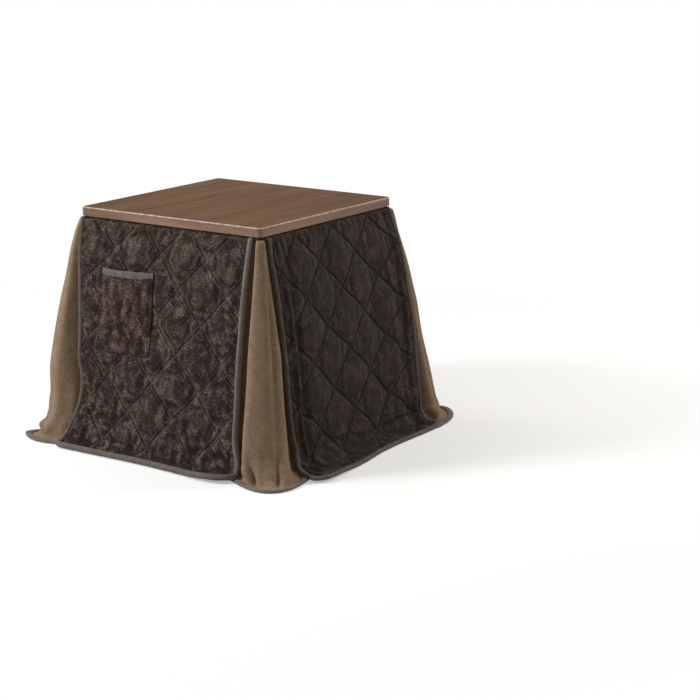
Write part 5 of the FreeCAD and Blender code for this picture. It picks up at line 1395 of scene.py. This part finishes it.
def fold_section(height, reach, crown_reach, half, shift, tuck=0.0):
    """The outline of a corner fold at one height, as (across, out) along the corner's diagonal."""
    near_side = max(half - tuck, 0.5 * half)
    seam_across = (SEAM_ACROSS + reach) / DIAGONAL
    seam_out = (SEAM_OUT + reach) / DIAGONAL
    crown = DIAGONAL * (HALF_BOARD + crown_reach)
    shoulder = crown - 0.4 * half
    tab_across = (TAB_ACROSS + reach) / DIAGONAL + 6.0
    tab_out = seam_out - TAB_BEHIND
    # The column is a roll, narrower where it meets the seams, and a deep slot lies on each side of it
    valley = seam_out - min(9.0 + 0.3 * reach, 32.0)
    waist = 0.62 * half
    outline = [
        (-tab_across, tab_out),
        (-seam_across * 0.9, valley + 1.0),
        (-waist * 1.05, valley),
        (-0.86 * half, 0.5 * (valley + shoulder) - 2.0),
        (-half, shoulder),
        (-half * 0.68, crown - 0.13 * half),
        (0.0, crown),
        (near_side * 0.68, crown - 0.13 * half),
        (near_side, shoulder),
        (0.86 * near_side, 0.5 * (valley + shoulder) - 2.0),
        (0.65 * near_side, valley),
        (seam_across * 0.9, valley + 1.0),
        (tab_across, tab_out),
    ]
    return [(across + shift * smooth((out - seam_out) / 60.0), out, height) for across, out in outline]


def reach_at(height):
    """How far a panel stands past the board at that height."""
    return spline_value(sorted(FALL), height)


def fold_rings(end, hand):
    """The outlines round a corner fold, from its seam down to its hem, as smooth runs."""
    hem = FOLD_HEMS[(end, hand)]
    crowns = FOLD_CROWNS[(end, hand)]
    lean = sum(across for across, out in hem[3:7]) / 4
    # The first outline is the seam's, tucked in under the board's rim
    sections = [fold_section(603.0, 4.0, -4.0, 9.0, 0.0)]
    for (height, half), crown_reach in zip(FOLD_ROWS, crowns):
        shift = lean * 0.8 * fade(height, 420.0, 0.0)
        tuck = BACK_TUCK * fade(height, 560.0, 360.0) if end == "back" else 0.0
        sections.append(fold_section(height, reach_at(height), crown_reach, half, shift, tuck))
    # From the lowest outline, a little widened, the foot spreads to the hem
    for height, share in FOOT_ROWS:
        base = smooth_run(fold_section(height, 92.0, crowns[-1] + 3.0, 64.0, lean * 0.85))
        ring = smooth_run([(across, out, height) for across, out in hem])
        section = []
        for number in range(13):
            inner = along(base, base[1][-1] * number / 12)
            outer = along(ring, ring[1][-1] * number / 12)
            section.append(inner.lerp(outer, share))
        sections.append(section)
    sections.append([(across, out, HEM_HEIGHT) for across, out in hem])
    return [smooth_run(section) for section in sections]


def fold_relief(end, hand, point, round_share, down_share):
    """How far swells, creases and slumps lift a corner fold's face, in millimetres."""
    seed = FOLD_SEEDS[(end, hand)]
    swell = 2.4 * ripple((point.x, point.y, point.z * 0.22), 26, seed)
    low = fade(point.z, 110.0, 20.0)
    buckle = 3.4 * low * ripple((point.x, point.y * 0.6, point.z * 1.6), 19, seed + 5)
    rise = swell * (0.35 + 0.65 * down_share) + buckle
    for place, width, depth, start, full in FOLD_CREASES[(end, hand)]:
        rise -= fade(point.z, start, full) * dent(round_share - place, depth, width)
    if (end, hand) == ("front", "left"):
        # It bulges over its own foot, with a crease under the bulge
        begins, full_from, full_to, ends = SLUMP
        window = fade(round_share, begins, full_from) * fade(round_share, ends, full_to)
        rise += window * (dent(point.z - 36.0, 9.0, 15.0) - dent(point.z - 14.0, 8.0, 6.0))
    if end == "back":
        rise -= 8.0 * fade(round_share, 0.74, 0.82) * fade(point.z, 80.0, 40.0)
    return rise


def corner_place(end, hand, point):
    """A fold's (across, out, up) in the row frame; across runs from the front or back to the side."""
    out_x = (point.y + point.x) / DIAGONAL
    out_y = (point.y - point.x) / DIAGONAL
    return Vector((out_x if hand == "right" else -out_x, out_y if end == "back" else -out_y, point.z))


def fold_face(end, hand, lines):
    """A corner fold's outer face in the row frame, row by row from its seam, from the lines down it."""
    points = []
    for row in range(FOLD_LEVELS):
        share = row / (FOLD_LEVELS - 1)
        points += [along(line, line[1][-1] * share) for line in lines]
    normals = grid_normals(points, FOLD_LEVELS, FOLD_COLUMNS, Vector((0.0, 1.0, 0.0)))
    face = []
    for index, (point, normal) in enumerate(zip(points, normals)):
        row, number = divmod(index, FOLD_COLUMNS)
        # Its relief runs out at its two sides, its seam and its hem
        free = smooth(min(number, FOLD_COLUMNS - 1 - number) / 9.0)
        free *= smooth((FOLD_LEVELS - 1 - row) / 6.0) * smooth(row / 8.0)
        rise = fold_relief(end, hand, point, number / (FOLD_COLUMNS - 1), row / (FOLD_LEVELS - 1))
        moved = point + normal * free * rise
        moved.z = max(moved.z, FOLD_FLOOR)
        face.append(corner_place(end, hand, moved))
    return face


def fold_hem(name, face, sizes):
    """The tape along the last row of a corner fold's face, flat on the floor."""
    half_width = mm(sizes.gusset_hem_width) / 2
    half_height = mm(sizes.gusset_hem_height) / 2
    centres = []
    inward = []
    for edge, inner in zip(face[-FOLD_COLUMNS:], face[-4 * FOLD_COLUMNS:]):
        into = inner - edge
        into.z = 0.0
        into.normalize()
        place = edge - into * (half_width - TAPE_SEAT)
        centres.append(Vector((place.x, place.y, half_height + 0.4)))
        inward.append(into)
    tape_tones = [0.7] * FOLD_COLUMNS
    half_heights = [half_height] * FOLD_COLUMNS
    return swept(name, centres, inward, half_width, half_heights, tape_tones, uneven=0.06, power=2.6)


def corner_gusset(end, hand, sizes):
    """A corner's pleat of fleece, its hem, its area, and how wide and high its cloth is."""
    rings = fold_rings(end, hand)
    lines = []
    for number in range(FOLD_COLUMNS):
        places = [along(ring, ring[1][-1] * number / (FOLD_COLUMNS - 1)) for ring in rings]
        lines.append(smooth_run(places))
    face = fold_face(end, hand, lines)
    piece = new_piece(f"gusset_cloth_{end}_{hand}", face, grid_faces(FOLD_LEVELS, FOLD_COLUMNS))
    middle = FOLD_LEVELS // 2 * (FOLD_COLUMNS - 1) + FOLD_COLUMNS // 2
    turn_faces(piece, middle, corner_place(end, hand, Vector((0.0, 1.0, 0.0))))
    thicken(piece, sizes.fleece_thickness)
    shade(piece, CLOTH_CREASE)
    hem = fold_hem(f"gusset_hem_{end}_{hand}", face, sizes)
    width, height = (max(run[1][-1] for run in runs) for runs in (rings, lines))
    return piece, hem, sheet_area(face, FOLD_LEVELS, FOLD_COLUMNS), width, height


def pocket_point(from_side, from_foot, at_left, stand):
    """A place of the pocket's outer face in the row frame, so far from its nearer side and its foot."""
    left, right, bottom, top = POCKET
    place = left + from_side if at_left else right - from_side
    height = bottom + from_foot
    across_share = (place - left) / (right - left)
    open_share = (height - bottom) / (top - bottom)
    # The mouth is a little slack in its middle and slopes up towards its right end
    mouth = fade(open_share, 0.7, 1.0)
    height += mouth * (3.5 + 3.7 * across_share - 1.5 * math.sin(math.pi * across_share))
    place += POCKET_SHIFT * (1.0 + 1.4 * (1.0 - open_share))
    # It lies on the panel, sewn down at its sides and its foot, and its belly and lumps stand off it
    wave = spline_value(SHAPES["front"].wave, place / HALF_PANEL)
    out = HALF_BOARD + reach_at(height) + FOLD_DEPTH * wave
    free = fade(from_side, 0.0, 13.0) * fade(from_foot, 0.0, 13.0)
    belly = math.sin(math.pi * across_share) ** 0.6 * (0.45 + 0.55 * open_share ** 2)
    lump = 3.0 * ripple((place, height * 0.45, 0), 21, 9) + 1.4 * ripple((place, height, 0), 9, 4)
    lump += 1.9 * folds(place, 37.0, -0.12 * height) * (0.4 + 0.6 * open_share)
    lump *= 1.0 - 0.75 * mouth
    out += 1.6 + free * (stand * belly + lump)
    return Vector((place, -out, height))


def patch_pocket(sizes):
    """The patch pocket, open and slack at its mouth, the tape there, and the pocket's area."""
    left, right, bottom, top = POCKET
    columns, rows = 61, 71
    points = []
    for row in range(rows):
        for number in range(columns):
            from_side = min(number, columns - 1 - number) / (columns - 1) * (right - left)
            from_foot = (1 - row / (rows - 1)) * (top - bottom)
            from_side, from_foot = round_corner(from_side, from_foot, POCKET_ROUND)
            points.append(pocket_point(from_side, from_foot, number < columns / 2, mm(sizes.pocket_stand)))
    outward = Vector((0.0, -1.0, 0.0))
    normals = grid_normals(points, rows, columns, outward)
    piece = new_piece("pocket_cloth", points, grid_faces(rows, columns))
    turn_faces(piece, columns * 20, outward)
    write_map(piece, "cloth", [(point.x * MM, point.z * MM) for point in points])
    # The whole pocket lies midway between stitch lines, since it has none
    write_map(piece, "stitch", [(0.5, 0.5)] * len(points))
    write_value(piece, "crush", [1.1] * len(points))
    write_value(piece, "warm", [1.0] * len(points))
    write_value(piece, "ridge", ridge_shares(points, normals, rows, columns, 4, 2.2))
    thicken(piece, sizes.fleece_thickness)
    shade(piece, CLOTH_CREASE)
    half_width = mm(sizes.mouth_width) / 2
    mouth = [point + Vector((0.0, -0.2, 2.0 - half_width)) for point in points[:columns]]
    inward = [Vector((0.0, 0.0, -1.0))] * columns
    half_heights, tape_tones = [MOUTH_HALF] * columns, [MOUTH_TONE] * columns
    tape = swept("pocket_mouth", mouth, inward, half_width, half_heights, tape_tones, uneven=0.12, power=3.2)
    return piece, tape, sheet_area(points, rows, columns)


def cover_top():
    """The quilted sheet between the frame and the board, pressed flat, with its stitch lines."""
    low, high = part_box("cover_top_sheet")
    half_x = (high[0] - low[0]) / 2 / MM
    half_y = (high[1] - low[1]) / 2 / MM
    middle_x = (high[0] + low[0]) / 2 / MM
    last = TOP_POINTS - 1
    upper = []
    lower = []
    gaps = []
    for row in range(TOP_POINTS):
        for place in range(TOP_POINTS):
            across = -half_x + 2 * half_x * place / last + middle_x
            back = -half_y + 2 * half_y * row / last
            gaps.append(((across + back) / TOP_DIAMOND, (across - back) / TOP_DIAMOND))
            groove = dent(from_stitch(*gaps[-1]), *TOP_GROOVE)
            if row in (0, last) or place in (0, last):
                groove = max(groove, TOP_RIM)
            upper.append(Vector((across, back, high[2] / MM - groove)))
            lower.append(Vector((across, back, low[2] / MM + groove * 0.6)))
    cloth = [(point.x * MM, point.y * MM) for point in upper]
    piece = two_sided("quilt_top", upper, lower, TOP_POINTS, TOP_POINTS, cloth, gaps)
    write_value(piece, "crush", [0.5] * (2 * TOP_POINTS * TOP_POINTS))
    return piece


# The stage


def studio_floor():
    """A wide floor that keeps the table's shadow near it and pales to plain white further out."""
    deselect()
    bpy.ops.mesh.primitive_plane_add(size=12.0, location=(0, 0, 0))
    floor = bpy.context.object
    floor.name = "floor"
    finish, tree, shader = blank_finish("pale studio floor")
    tree.nodes.remove(shader)
    shown = seen_directly(tree)
    place = add_node(tree, "ShaderNodeTexCoord").outputs["Object"]
    away = add_node(tree, "ShaderNodeVectorMath", {0: place}, operation="LENGTH")
    paling = add_node(tree, "ShaderNodeMapRange", {
        "Value": away.outputs["Value"], "From Min": 0.9, "From Max": 2.2, "To Min": 0.4, "To Max": 1.0},
        interpolation_type="SMOOTHSTEP")
    share = add_node(tree, "ShaderNodeMath", {0: shown, 1: paling.outputs[0]}, operation="MULTIPLY")
    bright = add_node(tree, "ShaderNodeMix", {
        0: shown, 6: tint("floor"), 7: (FLOOR_GAIN, FLOOR_GAIN, FLOOR_GAIN, 1.0)}, data_type="RGBA")
    matt = add_node(tree, "ShaderNodeBsdfDiffuse", {"Color": bright.outputs[2]})
    white = add_node(tree, "ShaderNodeEmission", {"Color": (1, 1, 1, 1), "Strength": 1.0})
    mixed = add_node(tree, "ShaderNodeMixShader", {
        0: share.outputs[0], 1: matt.outputs[0], 2: white.outputs[0]})
    output = next(node for node in tree.nodes if node.bl_idname == "ShaderNodeOutputMaterial")
    tree.links.new(mixed.outputs[0], output.inputs["Surface"])
    floor.data.materials.append(finish)
    return floor


def studio_sky():
    """A sky that looks white and lights the table dimly."""
    world = bpy.data.worlds.new("studio")
    world.use_nodes = True
    tree = world.node_tree
    tree.nodes.clear()
    strength = add_node(tree, "ShaderNodeMapRange", {
        "Value": seen_directly(tree), "To Min": SKY_SHARE, "To Max": 1.0})
    sky = add_node(tree, "ShaderNodeBackground", {"Color": (1, 1, 1, 1), "Strength": strength.outputs[0]})
    add_node(tree, "ShaderNodeOutputWorld", {"Surface": sky.outputs[0]})
    return world


def studio_lamp(name, place, power, size, cast):
    """One round lamp, turned towards the table."""
    deselect()
    bpy.ops.object.light_add(type="AREA", location=place)
    lamp = bpy.context.object
    lamp.name = name
    lamp.data.energy = power
    lamp.data.color = colour(cast)[:3]
    lamp.data.shape = "DISK"
    lamp.data.size = size
    lamp.rotation_mode = "QUATERNION"
    lamp.rotation_quaternion = (Vector(LAMP_AIM) - Vector(place)).to_track_quat("-Z", "Y")


def studio_camera():
    """The camera, where the photograph was taken from."""
    turn = math.radians(CAMERA_TURN)
    tilt = math.radians(CAMERA_TILT)
    back = Vector((math.sin(turn) * math.cos(tilt), -math.cos(turn) * math.cos(tilt), math.sin(tilt)))
    right = Vector((math.cos(turn), math.sin(turn), 0.0))
    up = back.cross(right)
    data = bpy.data.cameras.new("camera")
    camera = bpy.data.objects.new("camera", data)
    bpy.context.scene.collection.objects.link(camera)
    away, aside, above = CAMERA_PLACE
    camera.location = back * away + right * aside + up * above + Vector(CAMERA_MIDDLE)
    camera.rotation_mode = "QUATERNION"
    camera.rotation_quaternion = Matrix((right, up, back)).transposed().to_quaternion()
    data.sensor_width = CAMERA_SENSOR
    data.lens = CAMERA_LENS
    data.clip_start = 0.1
    data.clip_end = 100.0
    return camera


# What the user may change


class KOTATSU_PG_sizes(bpy.types.PropertyGroup):
    """Sizes of the cover's stitching, padding, tapes and pocket"""

    stitch_depth: bpy.props.FloatProperty(
        name="Stitch depth", description="How far a stitch line lies below the panel's face",
        default=0.003, min=0.0, max=0.006, unit="LENGTH")
    puff_growth: bpy.props.FloatProperty(
        name="Puff growth", description="Spare cloth between the stitch lines, as a share of its length",
        default=0.05, min=0.0, max=0.15)
    puff_pressure: bpy.props.FloatProperty(
        name="Puff pressure", description="Push of the wadding on the cloth in the simulation",
        default=3.4, min=0.0, max=20.0)
    puff_limit: bpy.props.FloatProperty(
        name="Puff limit", description="The furthest that a point may rise from where it is sewn",
        default=0.009, min=0.0, max=0.016, unit="LENGTH")
    corner_round: bpy.props.FloatProperty(
        name="Corner round", description="Radius of a panel's two bottom corners",
        default=0.026, min=0.005, max=0.06, unit="LENGTH")
    binding_width: bpy.props.FloatProperty(
        name="Binding width", description="Width of the tape along a panel's edges",
        default=0.014, min=0.008, max=0.025, unit="LENGTH")
    binding_proud: bpy.props.FloatProperty(
        name="Binding proud", description="How far the tape stands past each face of the quilt",
        default=0.0014, min=0.0, max=0.004, unit="LENGTH")
    fleece_thickness: bpy.props.FloatProperty(
        name="Fleece thickness", description="Thickness of the plain fleece",
        default=0.003, min=0.001, max=0.006, unit="LENGTH")
    gusset_hem_width: bpy.props.FloatProperty(
        name="Gusset hem width", description="Width of the tape along a corner fold's hem",
        default=0.017, min=0.008, max=0.025, unit="LENGTH")
    gusset_hem_height: bpy.props.FloatProperty(
        name="Gusset hem height", description="Height of the tape along a corner fold's hem",
        default=0.0085, min=0.004, max=0.012, unit="LENGTH")
    pocket_stand: bpy.props.FloatProperty(
        name="Pocket stand", description="How far the pocket's slack mouth stands off the panel",
        default=0.008, min=0.0, max=0.014, unit="LENGTH")
    mouth_width: bpy.props.FloatProperty(
        name="Mouth width", description="Width of the tape along the pocket's mouth",
        default=0.020, min=0.010, max=0.030, unit="LENGTH")


def swatch(name, description, code):
    """A colour of the panel's property sheet."""
    return bpy.props.FloatVectorProperty(
        name=name, description=description, default=colour(code),
        size=4, min=0.0, max=1.0, subtype="COLOR")


class KOTATSU_PG_colours(bpy.types.PropertyGroup):
    """Colours of the cover, the board, the frame and the floor"""

    # The pile's two tones: its crushed patches are its own, and the mix between them also carries painted
    # highlights and painted shade
    pile_shade: swatch("Pile, shade", "Flannel pile that stands upright", "#1E130D")
    pile_light: swatch("Pile, light", "Flannel pile that lies crushed", "#857367")
    pocket_cast: swatch("Pocket cast", "How much browner the pocket's pile is", "#FFF0E2")
    # Painted highlight and shade along the stitch lines: dark on the shaded sides and pale on the lit
    # front
    stitch_shade: swatch("Stitch, shade", "Stitch line in upright pile", "#120D0A")
    stitch_light: swatch("Stitch, light", "Stitch line in crushed pile", "#857A72")
    # The tape's two tones, mixed by random wear and by the painted light and shade that each tape carries
    tape_shade: swatch("Tape, shade", "Binding tape whose nap stands", "#3E3631")
    tape_light: swatch("Tape, light", "Binding tape whose nap lies flat", "#8C817B")
    fleece_shade: swatch("Fleece, shade", "Darker clouds of the plain fleece", "#887058")
    fleece_light: swatch("Fleece, light", "Lighter clouds of the plain fleece", "#AB9278")
    walnut_shade: swatch("Walnut, shade", "Dark bands of the board's print", "#5D3D23")
    walnut_light: swatch("Walnut, light", "Light bands of the board's print", "#745130")
    edge_shade: swatch("Edge, shade", "Dark bands of the board's edge", "#866754")
    edge_light: swatch("Edge, light", "Light bands of the board's edge", "#A4816A")
    # The colour of the painted highlight along the board's upper rim
    edge_highlight: swatch("Edge, rubbed", "Lacquer rubbed pale along the board's rim", "#DDCDC6")
    frame_shade: swatch("Frame, shade", "Dark bands of the frame's wood", "#4A3221")
    frame_light: swatch("Frame, light", "Light bands of the frame's wood", "#6E4F36")
    floor: swatch("Floor", "The floor's light on the cover", "#C8C8C8")


class KOTATSU_OT_panels(bpy.types.Operator):
    """Four quilted panels with the tape round them"""

    bl_idname = "kotatsu.panels"
    bl_label = "Quilted panels"

    def execute(self, context):
        sizes = context.scene.kotatsu_sizes
        for side, (other, axis) in OPPOSITE.items():
            piece, sewn, area, height = quilted_panel(side, sizes)
            tape = panel_binding(side, sizes)
            other_piece = mirrored_copy(piece, f"quilt_{other}", axis)
            other_tape = mirrored_copy(tape, f"quilt_{other}_binding", axis)
            if side == "front":
                left, right, bottom, top = POCKET
                under_pocket = (left + POCKET_SHIFT, right + 2 * POCKET_SHIFT, bottom, top)
                press_flat(piece, sewn, under_pocket, border=8.0)
            else:
                draw_in(other_piece)
                draw_in(other_tape)
            for name, cloth, edge in ((side, piece, tape), (other, other_piece, other_tape)):
                body = "flap" if name == "right" else "cover"
                dress(cloth, quilted_flannel(), body, "quilted_flannel", f"panel_{name}")
                dress(edge, binding_tape(), body, "binding_tape", f"panel_{name}_binding")
        return {"FINISHED"}


class KOTATSU_OT_gussets(bpy.types.Operator):
    """Four corner folds of plain fleece with their hems"""

    bl_idname = "kotatsu.gussets"
    bl_label = "Corner gussets"

    def execute(self, context):
        sizes = context.scene.kotatsu_sizes
        for end, hand in FOLD_HEMS:
            piece, hem, area, width, height = corner_gusset(end, hand, sizes)
            if (end, hand) == ("front", "left"):
                draw_in(piece)
                draw_in(hem)
            body = "cover" if hand == "left" else None
            dress(piece, plain_fleece(), body, "plain_fleece", f"gusset_{end}_{hand}")
            dress(hem, binding_tape(), body, "binding_tape", f"gusset_{end}_{hand}_hem")
            if hand == "right":
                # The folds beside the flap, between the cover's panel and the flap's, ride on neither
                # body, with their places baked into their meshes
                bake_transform(piece)
                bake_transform(hem)
        return {"FINISHED"}


class KOTATSU_OT_pocket(bpy.types.Operator):
    """The patch pocket on the front panel"""

    bl_idname = "kotatsu.pocket"
    bl_label = "Patch pocket"

    def execute(self, context):
        sizes = context.scene.kotatsu_sizes
        piece, tape, area = patch_pocket(sizes)
        dress(piece, quilted_flannel(), "cover", "quilted_flannel", "pocket")
        dress(tape, binding_tape(), "cover", "binding_tape", "pocket_binding")
        return {"FINISHED"}


class KOTATSU_OT_top_sheet(bpy.types.Operator):
    """The quilted sheet between the frame and the board"""

    bl_idname = "kotatsu.top_sheet"
    bl_label = "Top sheet"

    def execute(self, context):
        piece = cover_top()
        dress(piece, quilted_flannel(), "cover", "quilted_flannel", "cover_top_sheet")
        return {"FINISHED"}


class KOTATSU_OT_finishes(bpy.types.Operator):
    """The finishes of the board, the frame and the heater"""

    bl_idname = "kotatsu.finishes"
    bl_label = "Board, frame and heater"

    def execute(self, context):
        finishes = all_finishes()
        slots = {name: slot_of(piece) for name, piece in NODES.items()}
        for name, piece in NODES.items():
            if slots[name] in finishes:
                piece.data.materials.clear()
                piece.data.materials.append(finishes[slots[name]])
        return {"FINISHED"}


class KOTATSU_OT_stage(bpy.types.Operator):
    """A pale floor, soft studio light and the camera"""

    bl_idname = "kotatsu.stage"
    bl_label = "Floor, light and camera"

    def execute(self, context):
        floor = studio_floor()
        context.scene.world = studio_sky()
        for lamp in LAMPS:
            studio_lamp(*lamp)
        context.scene.camera = studio_camera()
        context.scene.view_settings.view_transform = "Standard"
        return {"FINISHED"}


class KOTATSU_PT_panel(bpy.types.Panel):
    """The table's pieces and sizes"""

    bl_idname = "KOTATSU_PT_panel"
    bl_label = "Kotatsu table"
    bl_space_type = "VIEW_3D"
    bl_region_type = "UI"
    bl_category = "Kotatsu"

    def draw(self, context):
        scene = context.scene
        for sheet in (scene.kotatsu_sizes, scene.kotatsu_colours):
            for name in type(sheet).__annotations__:
                self.layout.prop(sheet, name)
        for operator in OPERATORS:
            self.layout.operator(operator.bl_idname)


OPERATORS = (
    KOTATSU_OT_stage,
    KOTATSU_OT_finishes,
    KOTATSU_OT_top_sheet,
    KOTATSU_OT_panels,
    KOTATSU_OT_gussets,
    KOTATSU_OT_pocket,
)
CLASSES = (KOTATSU_PG_sizes, KOTATSU_PG_colours, *OPERATORS, KOTATSU_PT_panel)


def register():
    """Makes the operators, the panel and both property sheets known to Blender."""
    for item in CLASSES:
        bpy.utils.register_class(item)
    bpy.types.Scene.kotatsu_sizes = bpy.props.PointerProperty(type=KOTATSU_PG_sizes)
    bpy.types.Scene.kotatsu_colours = bpy.props.PointerProperty(type=KOTATSU_PG_colours)


def unregister():
    """Takes them out of Blender again."""
    del bpy.types.Scene.kotatsu_colours
    del bpy.types.Scene.kotatsu_sizes
    for item in reversed(CLASSES):
        bpy.utils.unregister_class(item)


def main():
    """Builds every piece in order."""
    register()
    bpy.ops.kotatsu.stage()
    bpy.ops.kotatsu.finishes()
    bpy.ops.kotatsu.top_sheet()
    bpy.ops.kotatsu.panels()
    bpy.ops.kotatsu.gussets()
    bpy.ops.kotatsu.pocket()
    bpy.context.view_layer.update()


if __name__ == "__main__":
    main()
